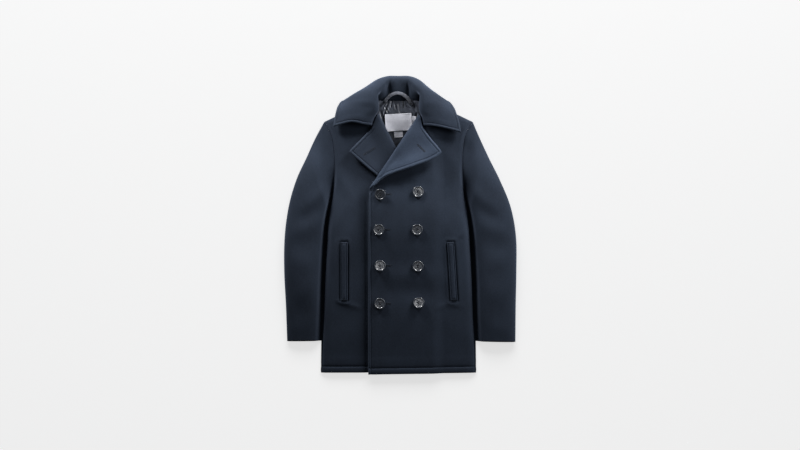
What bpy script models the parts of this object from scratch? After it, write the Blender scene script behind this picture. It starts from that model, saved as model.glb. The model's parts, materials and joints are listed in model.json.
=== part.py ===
"""A double-breasted pea coat, buttoned and laid flat on its back on a floor.

Everything is worked out in millimetres in the coat's own plan: x = 0 is the centre front, y = 0
the hem, +Y the way to the collar, +X the wearer's left, and z = 0 the floor. An empty called
coat carries every piece and puts the origin under the middle of the coat.
"""

import math

import bmesh
import bpy
import numpy as np
from mathutils import Vector
from mathutils.bvhtree import BVHTree

MM = 0.001

# ---------------------------------------------------------------- driving dimensions, in mm
CLOTH = 3.0  # heavy melton wool, one layer
SEAM = 0.3  # gap between two pieces at a seam
ON_TOP = 0.5  # clearance of a piece that lies on another
PLAN_MIDDLE = (4.8, 418.0)  # the middle of the coat's footprint in its own plan

SHOULDER = (208.0, 710.0)  # shoulder point, at the top of the armhole
NECK = (78.0, 772.0)  # neck point, where the shoulder seam meets the collar
SHOULDER_Z = 14.0  # height of the shoulder seam
UNDERARM_Y = 505.0
BACK_NECK_Y = 770.0
HEM_RISE = 4.0  # height in plan of the hem at the side seams
FRONT_HEM_Y = {"left": 0.0, "right": 5.0}  # the hem at the front edges; the lower front's is hidden
FRONT_EDGE_X = -85.0  # each front reaches this far past the centre front
LAYER_STEP = 2 * CLOTH + SEAM + 2 * ON_TOP  # how much higher the upper front lies than the lower

# Half the body's width in plan: the side folds up to the underarm, then the armhole seams.
BODY_HALF_WIDTH = {  # y: half width
    4: 218.5, 95: 217.5, 165: 214.5, 260: 212, 350: 207, 420: 203, 460: 198,
    505: 189, 545: 181.5, 594: 179.5, 640: 181.5, 678: 190, 710: 208,
}
CHEST_HEIGHT = {  # y: height of the middle of the chest
    0: 20, 60: 24, 200: 29, 400: 32, 500: 30, 600: 26, 700: 27, 780: 27,
}
SIDE_SEAM_HEIGHT = {0: 9, 300: 10, 430: 11, 505: 12}  # y: height of the side seams
FRONT_ARMHOLE_HEIGHT = {505: 12, 535: 21, 570: 27, 640: 28, 680: 25, 700: 18.5, 710: 14}
BACK_ARMHOLE_HEIGHT = {505: 12, 535: 6, 570: 1, 640: 1, 680: 3, 700: 9, 710: 14}

# How far in plan from a seam or fold a panel takes to reach its full height.
CHEST_REACH = 42.0
CHEST_REACH_AT_ARMHOLE = 28.0
CHEST_REACH_CHANGES_Y = (480.0, 560.0)
CHEST_REACH_AT_SHOULDER = 34.0
BACK_REACH = 15.0
BACK_REACH_AT_SHOULDER = 20.0

# Where one layer lifts the next.
UPPER_FRONT_ENDS_X = (92.0, 130.0)  # past the lower front's edge the upper front comes down
UPPER_FRONT_ENDS_Y = (660.0, 725.0)
LIFT_PAST_ROLL = (9.0, 48.0)  # the upper front comes down beside the lower front's lapel
LIFT_PAST_EDGE = (12.0, 48.0)
LIFT_PAST_LOW_END = (-24.0, 22.0)
OVER_COLLAR = 7.0  # the collar's fall lies under the back and lifts it by this much
OVER_COLLAR_Y = (676.0, 744.0)
OVER_COLLAR_X = (122.0, 165.0)

# Each front's lapel turns back over a straight break line, from the front edge to the neckline:
# the line's low end and high end, the lapel's tip and the notch under the collar.
LAPELS = {
    "left": ((-82.0, 505.0), (65.0, 727.0), (120.5, 621.0), (67.0, 692.0)),
    "right": ((-80.0, 449.0), (64.0, 730.0), (139.5, 624.5), (74.0, 692.0)),
}
LAPEL_GROWS = {  # share of the way up to the tip: share of the lapel's full width
    "left": {0: 0, 0.15: 0.07, 0.28: 0.145, 0.41: 0.28, 0.54: 0.475, 0.7: 0.70, 0.86: 0.9, 1: 1},
    "right": {0: 0, 0.3: 0.31, 0.62: 0.67, 1: 1},
}
ROLL = 2.2  # radius inside the lapel's roll
LAPEL_SETTLED = 1.2  # the lapel comes down to this far above its front
LAPEL_SETTLES_OVER = 40.0
LAPEL_TIP_LIFT = 5.0
LAPEL_LIFTS_OVER = (50.0, 120.0)  # distances from the roll between which the tip rises
LAPEL_LAYERS = 2 * CLOTH + SEAM  # a lapel is the front's cloth and the facing
FACING_START = {"left": 0.0, "right": 470.0}  # y where each facing starts

# Sleeves: how far down the sleeve: the outer fold's x and y, the inner fold's y, the thickness.
SLEEVES = {
    "left": {
        0.08: (226, 669, 482, 36), 0.20: (253, 610, 456, 42), 0.34: (286, 543, 415, 44),
        0.48: (315, 470, 362, 43), 0.62: (330, 386, 292, 41), 0.76: (331, 285, 222, 38),
        0.88: (329.5, 190, 158, 34), 1.00: (329, 91, 93, 30),
    },
    "right": {
        0.08: (231, 669, 482, 36), 0.20: (257, 612, 456, 42), 0.34: (287, 546, 415, 44),
        0.48: (308, 473, 362, 43), 0.62: (319.5, 388, 292, 41), 0.76: (321, 290, 222, 38),
        0.88: (316.5, 190, 158, 34), 1.00: (313.5, 93, 94, 30),
    },
}
SLEEVE_HEAD_HEIGHT = 28.0
SLEEVE_CLEARANCE = 0.6  # between a sleeve's inner fold and the side of the body
SLEEVE_FOLD_SHARE = 0.38  # height of the folds along a sleeve, as a share of its thickness
SLEEVE_TOP_ROUND = 2.3  # powers of the sleeve's rounded section
SLEEVE_UNDER_ROUND = 3.2
SLEEVE_HEAD_SHARE = 0.3  # share of the sleeve over which the armhole's curve fades out

# The collar's middle surface, on the wearer's left: one row for each section round the neck, with
# its seam, the fold at the neck, the turn, the fall and the outer edge.
COLLAR = {
    "notch": ((71.5, 697, 39.5), (80, 697, 42), (91, 696, 44), (127, 690, 43), (174, 678, 38)),
    "gorge": ((68, 716, 38), (75.5, 717, 43), (88, 718, 46), (119, 715, 45), (170, 703, 36)),
    "front": ((64.5, 738, 34), (61.5, 739, 42), (70, 740, 48), (112, 740, 46), (162, 729, 32)),
    "side": ((70, 759, 26), (61, 760, 44), (71, 763, 51), (108, 763, 43), (153, 750, 21)),
    "shoulder": ((73, 777, 18), (60.5, 787, 43), (69, 795, 47), (101, 787, 33), (137, 765, 9)),
    "corner": ((50, 772.3, 11.2), (42, 812, 34), (55, 822, 29), (79, 803, 12), (106, 756, 4)),
    "back": ((26, 771.4, 10.6), (24, 826, 25), (31, 835, 16), (44, 815, 4.5), (60, 748, 3.2)),
    "centre": ((0, 770.7, 10.6), (0, 828, 22), (0, 836, 13), (0, 815, 4), (0, 746, 3.2)),
}
COLLAR_ACROSS = (0, 0.26, 0.42, 0.7, 1.0)  # where a section's points lie, as shares of its length
COLLAR_RIGHT = {  # the sections that lie differently on the wearer's right, wider and higher
    "notch": ((76, 698, 34.5), (85, 699, 39.5), (97, 700, 43), (133, 706, 43), (181, 694, 38)),
    "gorge": ((70.5, 716, 35), (78, 718, 41.5), (91, 721, 46), (126, 722, 45), (179, 712, 36)),
    "front": ((64, 738, 34), (60, 740, 42), (70, 743, 48), (119, 746, 46), (174, 736, 32)),
    "side": ((69, 759, 26), (59, 761, 44), (72, 765, 51), (118, 766, 43), (168, 753, 21)),
    "shoulder": ((72, 777, 18), (59, 787, 43), (72, 795, 47), (115, 788, 33), (156, 765, 9)),
    "corner": ((50, 772.3, 11.2), (42, 812, 34), (58, 822, 29), (88, 803, 12), (119, 756, 4)),
}

BUTTON = {"radius": 15.5, "thick": 4.5, "foot": 14.4, "rim": 13.0, "dish": 12.2, "dish_z": 3.3}
BUTTON_EDGE = 1.2  # rounding of a button's edge
BUTTON_HOLE = {"radius": 1.3, "spread": 2.9}
BUTTON_SEGMENTS = 16
BUTTONS = {  # name: centre (x, y)
    "button_left_1": (54.3, 512), "button_left_2": (51.8, 407),
    "button_left_3": (54.3, 305.5), "button_left_4": (56.3, 203),
    "button_right_1": (-50.1, 505), "button_right_2": (-54.6, 407),
    "button_right_3": (-51.2, 306.6), "button_right_4": (-51.8, 201),
}
WELT = {"width": 19.0, "thick": 2.6}
WELTS = {"left": ((145, 372), (155.5, 209)), "right": ((151, 372), (152, 209))}  # top, bottom
LINING = {"half": 100.0, "low": 590.0, "high": 769.0, "corner": 735.0, "corner_from": 50.0}
LINING_THICK = 1.5
LINING_CLEARANCE = 1.0
PUCKER = 1.4  # height of the lining's puckers
PUCKER_TURN = 0.21  # radians of pucker for each mm across
PUCKER_SWAY = (0.6, 0.045)  # how much the puckers wander, and radians of that for each mm up
PUCKER_GROWS_Y = (640.0, 735.0)
LABELS = {  # centre (x, y), width, height, turn in degrees, top over the lining's highest puckers
    "label_main": (0.0, 708.5, 76.0, 48.0, 3.0, 1.8),
    "label_size": (0.0, 675.0, 25.0, 17.0, 4.0, 0.9),
    "label_care": (35.0, 714.0, 28.0, 26.0, -6.0, 0.9),
}
LABEL_THICK = 0.6
LOOP = {"start": (-40.0, 763.0), "end": (38.0, 758.0), "rise": 29.0, "width": 9.0, "thick": 1.6}
LOOP_HEIGHT = (15.9, 25.0)  # height at its ends and at its middle

FINISHES = {  # material: colour, roughness
    "melton": ((0.019, 0.026, 0.044), 0.95),
    "horn_button": ((0.020, 0.021, 0.026), 0.30),
    "quilted_lining": ((0.030, 0.031, 0.040), 0.45),
    "woven_label": ((0.78, 0.79, 0.85), 0.80),
}

# ---------------------------------------------------------------- curves


def curve(table, at):
    """A smooth curve through a table's rows: cubic Hermite with finite-difference slopes."""
    keys = np.array(list(table.keys()), float)
    rows = np.array(list(table.values()), float)
    rows = rows.reshape(len(keys), -1)
    slopes = np.gradient(rows, keys, axis=0)
    at = np.asarray(at, float)
    flat = at.ravel()
    index = np.clip(np.searchsorted(keys, flat) - 1, 0, len(keys) - 2)
    step = (keys[index + 1] - keys[index])[:, None]
    s = np.clip((flat - keys[index])[:, None] / step, 0, 1)
    value = (2 * s**3 - 3 * s**2 + 1) * rows[index]
    value = value + (s**3 - 2 * s**2 + s) * step * slopes[index]
    value = value + (3 * s**2 - 2 * s**3) * rows[index + 1]
    value = value + (s**3 - s**2) * step * slopes[index + 1]
    return value[:, 0].reshape(at.shape) if rows.shape[1] == 1 else value


def smoothstep(value, low, high):
    s = np.clip((np.asarray(value, float) - low) / (high - low), 0, 1)
    return s * s * (3 - 2 * s)


def rounding(distance, radius):
    """0 at an edge and 1 from radius inwards, along a quarter of an ellipse."""
    s = np.clip(np.asarray(distance, float) / radius, 0, 1)
    return np.sqrt(1 - (1 - s) ** 2)


def along_lines(points, share):
    """The points at these shares of the length of a run of straight lines."""
    points = np.array(points, float)
    steps = np.linalg.norm(np.diff(points, axis=0), axis=1)
    lengths = np.concatenate([[0], np.cumsum(steps)])
    at = np.asarray(share, float) * lengths[-1]
    return np.stack([np.interp(at, lengths, points[:, k]) for k in (0, 1)], axis=-1)


# ---------------------------------------------------------------- heights over the plan


def half_width(y):
    return curve(BODY_HALF_WIDTH, y)


def below_shoulder(x, y):
    """Distance of a plan point below the line of the shoulder seam."""
    run = np.subtract(SHOULDER, NECK) / math.dist(SHOULDER, NECK)
    return (np.abs(x) - NECK[0]) * run[1] - (y - NECK[1]) * run[0]


def side_z(y, armhole_height):
    """Height of the side seam, and above the underarm of one edge of the armhole."""
    return np.where(y <= UNDERARM_Y, curve(SIDE_SEAM_HEIGHT, y), curve(armhole_height, y))


def chest_z(x, y):
    """Height of the lower front's outer face."""
    side = side_z(y, FRONT_ARMHOLE_HEIGHT) + SEAM / 2
    narrower = smoothstep(y, *CHEST_REACH_CHANGES_Y)
    reach = CHEST_REACH + (CHEST_REACH_AT_ARMHOLE - CHEST_REACH) * narrower
    z = side + (curve(CHEST_HEIGHT, y) - side) * rounding(half_width(y) - np.abs(x), reach)
    seam_z = SHOULDER_Z + SEAM / 2
    return seam_z + (z - seam_z) * rounding(below_shoulder(x, y), CHEST_REACH_AT_SHOULDER)


def lower_lapel_lift(x, y):
    """How much the lower front's lapel lifts the upper front that covers it."""
    low, high, tip, _notch = (np.multiply(p, (-1, 1)) for p in LAPELS["right"])
    along = (high - low) / math.dist(high, low)
    rel_x, rel_y = x - low[0], y - low[1]
    past_roll = rel_x * along[1] - rel_y * along[0]
    edge = (tip - low) / math.dist(tip, low)
    past_edge = -(rel_x * edge[1] - rel_y * edge[0])
    past_low = -(rel_x * along[0] + rel_y * along[1])
    height = 2 * ROLL + LAPEL_LAYERS - LAPEL_SETTLED + 2 * ON_TOP
    fade = (1 - smoothstep(past_roll, *LIFT_PAST_ROLL)) * (1 - smoothstep(past_edge, *LIFT_PAST_EDGE))
    return height * fade * (1 - smoothstep(past_low, *LIFT_PAST_LOW_END))


def upper_chest_z(x, y):
    """Height of the upper front's outer face: it lies over the lower front, then on the chest."""
    over = (1 - smoothstep(x, *UPPER_FRONT_ENDS_X)) * (1 - smoothstep(y, *UPPER_FRONT_ENDS_Y))
    return chest_z(x, y) + LAYER_STEP * over + lower_lapel_lift(x, y)


def back_z(x, y):
    """Height of the back's outer face: on the floor, up at its sides, over the collar's fall."""
    side = side_z(y, BACK_ARMHOLE_HEIGHT) - SEAM / 2
    z = side * (1 - rounding(half_width(y) - np.abs(x), BACK_REACH))
    over_collar = smoothstep(y, *OVER_COLLAR_Y) * (1 - smoothstep(np.abs(x), *OVER_COLLAR_X))
    z = np.maximum(z, OVER_COLLAR * over_collar)
    seam_z = SHOULDER_Z - SEAM / 2
    return seam_z + (z - seam_z) * rounding(below_shoulder(x, y), BACK_REACH_AT_SHOULDER)


def lining_base(x, y):
    """Height of the lining's underside, over the back's cloth."""
    return back_z(x, y) + CLOTH + LINING_CLEARANCE


def lining_z(x, y):
    """Height of the lining's upper side, with the puckers that spread from the loop."""
    wave = np.cos(x * PUCKER_TURN + PUCKER_SWAY[0] * np.sin(y * PUCKER_SWAY[1]))
    pucker = (1 + wave * smoothstep(y, *PUCKER_GROWS_Y)) / 2
    return lining_base(x, y) + LINING_THICK + PUCKER * pucker


# ---------------------------------------------------------------- grids


def normals(grid, sample, towards):
    """Unit normals of a grid of points, signed so that the one at sample points towards."""
    n = np.cross(np.gradient(grid, axis=0), np.gradient(grid, axis=1))
    n = n / np.maximum(np.linalg.norm(n, axis=-1, keepdims=True), 1e-9)
    return n if np.dot(n[sample], towards) > 0 else -n


def mirrored(grid):
    """The same grid, or grid of directions, on the wearer's other side."""
    return grid * (-1, 1, 1)


def between(start, end, share):
    """Unit directions between two, one for each share from 0 to 1."""
    mix = (1 - share)[:, None] * np.array(start, float) + share[:, None] * np.array(end, float)
    return mix / np.linalg.norm(mix, axis=-1, keepdims=True)


def coons(left, right, bottom, top, u, v, top_power):
    """A plan grid between four edges: left and right run with v, bottom and top with u."""
    u = u[None, :, None]
    v = v[:, None, None]
    sides = (1 - u) * left[:, None] + u * right[:, None]
    low = (1 - u) * left[0] + u * right[0]
    high = (1 - u) * left[-1] + u * right[-1]
    return sides + (1 - v) * (bottom[None] - low) + v**top_power * (top[None] - high)


# ---------------------------------------------------------------- Blender objects


def finish(name):
    """A piece's material."""
    made = bpy.data.materials.get(name)
    if made:
        return made
    colour, roughness = FINISHES[name]
    made = bpy.data.materials.new(name)
    made.use_nodes = True
    shader = made.node_tree.nodes["Principled BSDF"]
    shader.inputs["Base Color"].default_value = (*colour, 1)
    shader.inputs["Roughness"].default_value = roughness
    made.diffuse_color = (*colour, 1)
    return made


def add_piece(name, mesh, finish_name, coat):
    mesh.materials.append(finish(finish_name))
    mesh.shade_smooth()
    mesh.set_sharp_from_angle(angle=math.radians(50))
    obj = bpy.data.objects.new(name, mesh)
    bpy.context.scene.collection.objects.link(obj)
    obj.parent = coat
    return obj


def wall(name, outer, inward, coat, thick=CLOTH, finish_name="melton"):
    """A closed wall of cloth: the outer face is a grid of points, and inward are the directions
    from each of them to its point of the inner face."""
    rows, columns = outer.shape[:2]
    count = rows * columns
    points = np.concatenate([outer.reshape(-1, 3), (outer + inward * thick).reshape(-1, 3)])
    index = np.arange(count).reshape(rows, columns)
    corners = (index[:-1, :-1], index[1:, :-1], index[1:, 1:], index[:-1, 1:])
    a, b, c, d = (k.ravel() for k in corners)
    face = np.concatenate([np.stack([a, b, c], axis=-1), np.stack([a, c, d], axis=-1)])
    ring = np.concatenate([index[:, 0], index[-1, 1:], index[-2::-1, -1], index[0, -2:0:-1]])
    after = np.roll(ring, -1)
    near = np.stack([ring, ring + count, after], axis=-1)
    far = np.stack([after, ring + count, after + count], axis=-1)
    triangles = np.concatenate([face, face[:, ::-1] + count, near, far])
    corner = points[triangles]
    volume = np.einsum("ij,ij->i", corner[:, 0], np.cross(corner[:, 1], corner[:, 2])).sum()
    if volume < 0:
        triangles = triangles[:, ::-1]
    mesh = bpy.data.meshes.new(name)
    mesh.from_pydata((points * MM).tolist(), [], triangles.tolist())
    return add_piece(name, mesh, finish_name, coat)


# ---------------------------------------------------------------- fronts and facings

# Rows up the side seam and armhole, which fronts, backs and sleeves share. They lie closer just
# past the underarm, where the same rows of a front start to turn over as its lapel.
TURN_ROWS = (0.025, 0.055)
SIDE_YS = np.concatenate([
    np.linspace(HEM_RISE, 430, 8)[:-1],
    np.linspace(430, UNDERARM_Y, 4)[:-1],
    UNDERARM_Y + (SHOULDER[1] - UNDERARM_Y) * np.sort([*np.linspace(0, 1, 11), *TURN_ROWS]),
])
ARMHOLE_YS = SIDE_YS[SIDE_YS >= UNDERARM_Y - 1e-6]
ROWS = (SIDE_YS - SIDE_YS[0]) / (SIDE_YS[-1] - SIDE_YS[0])
LOW_END_ROW = (UNDERARM_Y - SIDE_YS[0]) / (SIDE_YS[-1] - SIDE_YS[0])
SIDE_TO_NECK = np.array([0, 0.05, 0.12, 0.22, 0.36, 0.52, 0.68, 0.84, 1.0])
NECK_TO_BREAK = np.linspace(0, 1, 4)[1:]
BODY_COLUMNS = len(SIDE_TO_NECK) + len(NECK_TO_BREAK)
FACING_BODY_COLUMNS = 2  # columns of the front, inside the break line, that the facing covers
EDGE_STRIP = (12.0, 4.0)  # width at the hem and at the low end of the strip along the front edge
ROLL_STEPS = 4
ROLL_FULL_WIDTH = 24.0  # lapel width from which the roll's columns cover the whole roll
LAPEL_STEPS = 3
FRONT_TOP_POWER = 40  # how soon below the shoulder a panel's rows take the shoulder seam's slope
BACK_TOP_POWER = 3
GORGE_POWER = 7


def break_frame(side):
    """The break line's low end, its direction, and the direction across it to the armhole."""
    low, high = np.array(LAPELS[side][0]), np.array(LAPELS[side][1])
    along = (high - low) / math.dist(high, low)
    return low, along, np.array((along[1], -along[0]))


def unfold(side, point):
    """Where a point of the turned-back lapel lies when the front is opened out flat."""
    low, along, across = break_frame(side)
    rel = np.subtract(point, low)
    return low + along * (rel @ along) - across * (rel @ across + math.pi * ROLL)


def turned(side, plan, base_z):
    """Turns the lapel of an opened-out front, past the break line, back over the chest."""
    low, along, across = break_frame(side)
    rel = plan - low
    distance = -(rel @ across)
    past = (distance > 0) & (np.arange(plan.shape[1]) >= BODY_COLUMNS)
    angle = np.where(past, np.clip(distance / ROLL, 0, math.pi), 0)
    flat = np.where(past, np.maximum(distance - math.pi * ROLL, 0), 0)
    reach = np.where(past, flat - ROLL * np.sin(angle), -distance)
    folded = low + (rel @ along)[..., None] * along + reach[..., None] * across
    settled = smoothstep(flat, 0, LAPEL_SETTLES_OVER)
    lift = ROLL * (1 - np.cos(angle)) + (LAPEL_SETTLED - 2 * ROLL) * settled
    lift = lift + LAPEL_TIP_LIFT * smoothstep(flat, *LAPEL_LIFTS_OVER)
    z = base_z(folded[..., 0], folded[..., 1]) + np.where(past, lift, 0)
    return np.concatenate([folded, z[..., None]], axis=-1)


def front_plan(side):
    """The opened-out front as a plan grid, from the side seam and armhole to the front edge. Its
    rows reach the straight front edge below the break line's low end, and the lapel's above."""
    low, high, tip, notch = (np.array(p) for p in LAPELS[side])
    tip, notch = unfold(side, tip), unfold(side, notch)
    _low, along, across = break_frame(side)
    hem = np.array((FRONT_EDGE_X, FRONT_HEM_Y[side]))
    up_edge = np.clip(ROWS / LOW_END_ROW, 0, 1)[:, None]
    up_lapel = np.clip((ROWS - LOW_END_ROW) / (1 - LOW_END_ROW), 0, 1)[:, None]
    grown = curve(LAPEL_GROWS[side], up_lapel) * ((tip - low) @ across)
    edge = hem + up_edge * (low - hem) + up_lapel * ((tip - low) @ along) * along + grown * across
    strip = EDGE_STRIP[0] + up_edge * (EDGE_STRIP[1] - EDGE_STRIP[0])
    below = ROWS[:, None] < LOW_END_ROW + 1e-6
    turn = np.where(below, edge + strip * (1, 0), low + up_lapel * (high - low))

    armhole = np.stack([half_width(SIDE_YS), SIDE_YS], axis=-1)
    neck_share = math.dist(SHOULDER, NECK)
    neck_share = neck_share / (neck_share + math.dist(NECK, high))
    columns = [SIDE_TO_NECK * neck_share, neck_share + NECK_TO_BREAK * (1 - neck_share)]
    columns = np.concatenate(columns)
    bottom = armhole[0] + columns[:, None] * (turn[0] - armhole[0])
    top = along_lines([armhole[-1], NECK, turn[-1]], columns)
    body = coons(armhole, turn, bottom, top, columns, ROWS, FRONT_TOP_POWER)

    width = np.maximum(-((edge - turn) @ across), 1e-6)[:, None]
    roll_share = np.arange(1, ROLL_STEPS + 1) / ROLL_STEPS
    roll = math.pi * ROLL * roll_share * np.minimum(1, width / ROLL_FULL_WIDTH)
    share = np.arange(1, LAPEL_STEPS + 1) / LAPEL_STEPS
    rest = roll[:, -1:] + (width - roll[:, -1:]) * share
    distance = np.concatenate([roll, rest], axis=1)
    lapel = turn[:, None] + (distance / width)[..., None] * (edge - turn)[:, None]
    stops = [0, -((notch - turn[-1]) @ across), width[-1, 0]]
    gorge = [np.interp(distance[-1], stops, (turn[-1, k], notch[k], tip[k])) for k in (0, 1)]
    gorge = np.stack(gorge, axis=-1)
    lapel = lapel + ROWS[:, None, None] ** GORGE_POWER * (gorge - lapel[-1])[None]
    return np.concatenate([body, lapel], axis=1)


def seamed(outer, inward, seam_points, up):
    """Turns a panel's directions through its cloth at its edges, so that neighbours meet face to
    face: level at the side and shoulder seams, upright round the armhole."""
    ys = outer[:, 0, 1]
    upright = smoothstep(ys, UNDERARM_Y, UNDERARM_Y + 40)
    upright = upright * (1 - smoothstep(ys, SHOULDER[1] - 30, SHOULDER[1]))
    run = np.subtract(NECK, SHOULDER) / math.dist(NECK, SHOULDER)
    below_seam = np.array((-run[1], run[0], 0))
    level = np.where(ys[:, None] > UNDERARM_Y + 100, below_seam, (-1.0, 0, 0))
    inward[:, 0] = between(level, (0, 0, up), upright)
    inward[-1, :seam_points] = below_seam
    return inward


def make_fronts(coat):
    """Both fronts with their lapels turned back, and the facings that show on the lapels. Gives
    back the upper front."""
    fronts = {}
    for side, base in (("left", upper_chest_z), ("right", chest_z)):
        outer = turned(side, front_plan(side), base)
        inward = seamed(outer, -normals(outer, (3, 4), (0, 0, 1)), len(SIDE_TO_NECK), -1)
        first = int(np.argmax(outer[:, 0, 1] >= FACING_START[side]))
        strip = slice(BODY_COLUMNS - 1 - FACING_BODY_COLUMNS, None)
        facing = (outer + inward * (CLOTH + SEAM))[first:, strip]
        facing_inward = inward[first:, strip]
        if side == "right":
            outer, inward = mirrored(outer), mirrored(inward)
            facing, facing_inward = mirrored(facing), mirrored(facing_inward)
        fronts[side] = wall(f"front_{side}", outer, inward, coat)
        wall(f"facing_{side}", facing, facing_inward, coat)
    return fronts["left"]


# ---------------------------------------------------------------- back

BACK_TO_NECK = np.array([0, 0.02, 0.06, 0.12, 0.22, 0.4, 0.7, 1.0])
NECK_TO_CENTRE = np.array([0.35, 0.7, 1.0])


def make_backs(coat):
    """The two halves of the back, either side of the centre back seam."""
    side = np.stack([half_width(SIDE_YS), SIDE_YS], axis=-1)
    centre_y = SIDE_YS[0] + ROWS * (BACK_NECK_Y - SIDE_YS[0])
    centre = np.stack([np.full(len(ROWS), SEAM / 2), centre_y], axis=-1)
    neck_share = math.dist(SHOULDER, NECK)
    neck_share = neck_share / (neck_share + NECK[0])
    columns = [BACK_TO_NECK * neck_share, neck_share + NECK_TO_CENTRE * (1 - neck_share)]
    columns = np.concatenate(columns)
    bottom = side[0] + columns[:, None] * (centre[0] - side[0])
    top = along_lines([side[-1], NECK, centre[-1]], columns)
    plan = coons(side, centre, bottom, top, columns, ROWS, BACK_TOP_POWER)
    outer = np.concatenate([plan, back_z(plan[..., 0], plan[..., 1])[..., None]], axis=-1)
    inward = -normals(outer, (3, 7), (0, 0, -1))
    inward = seamed(outer, inward, len(BACK_TO_NECK), 1)
    inward[:, -1] = (0, 0, 1)
    wall("back_left", outer, inward, coat)
    wall("back_right", mirrored(outer), mirrored(inward), coat)


# ---------------------------------------------------------------- sleeves

SLEEVE_ROWS = np.array([
    0, 0.03, 0.07, 0.12, 0.18, 0.25, 0.33, 0.41, 0.49, 0.57, 0.66, 0.75, 0.84, 0.92, 1.0,
])


def sleeve_plan(side, u):
    """A sleeve's plan grid from the outer fold to the inner one, and its thickness by rows."""
    table = {0.0: (SHOULDER[0] + SEAM, SHOULDER[1], UNDERARM_Y, SLEEVE_HEAD_HEIGHT)}
    table.update(SLEEVES[side])
    rows = curve(table, SLEEVE_ROWS)
    outer_fold = rows[:, None, :2]
    inner_y = rows[:, 2]
    clear = SEAM + (SLEEVE_CLEARANCE - SEAM) * smoothstep(SLEEVE_ROWS, 0, 0.1)
    inner_fold = np.stack([half_width(inner_y) + clear, inner_y], axis=-1)[:, None]
    armhole_y = ARMHOLE_YS[::-1]
    armhole = np.stack([half_width(armhole_y) + SEAM, armhole_y], axis=-1)
    straight = armhole[0] + (armhole[-1] - armhole[0]) * u[:, None]
    near = ((1 - np.clip(SLEEVE_ROWS / SLEEVE_HEAD_SHARE, 0, 1)) ** 2)[:, None, None]
    plan = outer_fold + (inner_fold - outer_fold) * u[None, :, None]
    return plan + near * (armhole - straight)[None], rows[:, 3][:, None]


def make_sleeves(coat):
    """Top sleeve and undersleeve on each side, which meet along the sleeve's two folds."""
    armhole_y = ARMHOLE_YS[::-1]
    u = (1 - np.cos(np.linspace(0, math.pi, len(armhole_y)))) / 2
    span = np.abs(2 * u - 1)[None]
    share = smoothstep(SLEEVE_ROWS, 0, 0.2)[:, None]
    for side in ("left", "right"):
        plan, height = sleeve_plan(side, u)
        fold_z = height * SLEEVE_FOLD_SHARE
        dome = (1 - span**SLEEVE_TOP_ROUND) ** (1 / SLEEVE_TOP_ROUND)
        bowl = 1 - (1 - span**SLEEVE_UNDER_ROUND) ** (1 / SLEEVE_UNDER_ROUND)
        top_z = share * (fold_z + (height - fold_z) * dome)
        top_z = top_z + (1 - share) * curve(FRONT_ARMHOLE_HEIGHT, armhole_y)[None]
        under_z = share * fold_z * bowl + (1 - share) * curve(BACK_ARMHOLE_HEIGHT, armhole_y)[None]
        to_middle = plan.mean(axis=1, keepdims=True) - plan
        length = np.linalg.norm(to_middle, axis=-1, keepdims=True)
        to_middle = to_middle / np.maximum(length, 1e-9)
        level = np.concatenate([to_middle, np.zeros((*plan.shape[:2], 1))], axis=-1)
        shells = (("top", top_z + SEAM / 2, 1), ("under", under_z - SEAM / 2 * span**6, -1))
        for name, z, up in shells:
            outer = np.concatenate([plan, np.maximum(z, 0)[..., None]], axis=-1)
            inward = -normals(outer, (8, 5), (0, 0, up))
            ends = smoothstep(span[0], 0.55, 1.0)
            inward[0] = between((0, 0, -up), level[0], ends)
            inward[:, 0] = level[:, 0]
            inward[:, -1] = level[:, -1]
            if side == "right":
                outer, inward = mirrored(outer), mirrored(inward)
            wall(f"sleeve_{name}_{side}", outer, inward, coat)


# ---------------------------------------------------------------- collar

COLLAR_STATIONS = 29
COLLAR_POINTS = 11


def collar_middle():
    """The surface between upper collar and undercollar, from the left notch to the right one."""
    left = np.array(list(COLLAR.values()), float)
    right = mirrored(np.array([COLLAR_RIGHT.get(name, row) for name, row in COLLAR.items()], float))
    sections = np.concatenate([left, right[-2::-1]])
    around = np.linspace(0, 1, len(sections))
    share = np.linspace(0, 1, COLLAR_POINTS)
    drawn = [curve(dict(zip(COLLAR_ACROSS, section)), share) for section in sections]
    drawn = np.stack(drawn)
    stations = np.linspace(0, 1, COLLAR_STATIONS)
    lines = [curve(dict(zip(around, drawn[:, k])), stations) for k in range(COLLAR_POINTS)]
    grid = np.stack(lines, axis=1)
    grid[..., 2] = np.maximum(grid[..., 2], CLOTH + SEAM / 2)
    return grid


def make_collar(coat):
    """The upper collar, which shows, and the undercollar on its inner side."""
    middle = collar_middle()
    outward = normals(middle, (1, -2), (0, 0, 1))
    wall("collar_upper", middle + outward * SEAM / 2, outward, coat)
    wall("collar_under", middle - outward * SEAM / 2, -outward, coat)


# ---------------------------------------------------------------- pieces that lie on the panels

DOWN = np.array((0.0, 0.0, -1.0))


def strip_along(line, width, steps):
    """The plan grid of a strip of even width along a plan curve."""
    run = np.gradient(line, axis=0)
    run = run / np.linalg.norm(run, axis=-1, keepdims=True)
    across = np.stack([-run[:, 1], run[:, 0]], axis=-1)
    return line[:, None] + across[:, None] * (np.linspace(-0.5, 0.5, steps) * width)[None, :, None]


def make_welts(coat):
    """The welts of the two slanted pockets."""
    for side, surface, sign in (("left", upper_chest_z, 1), ("right", chest_z, -1)):
        top, bottom = WELTS[side]
        plan = strip_along(np.linspace(top, bottom, 8), WELT["width"], 3)
        z = surface(plan[..., 0], plan[..., 1]) + ON_TOP + WELT["thick"]
        outer = np.concatenate([plan, z[..., None]], axis=-1) * (sign, 1, 1)
        wall(f"welt_{side}", outer, np.broadcast_to(DOWN, outer.shape), coat, WELT["thick"])


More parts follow.
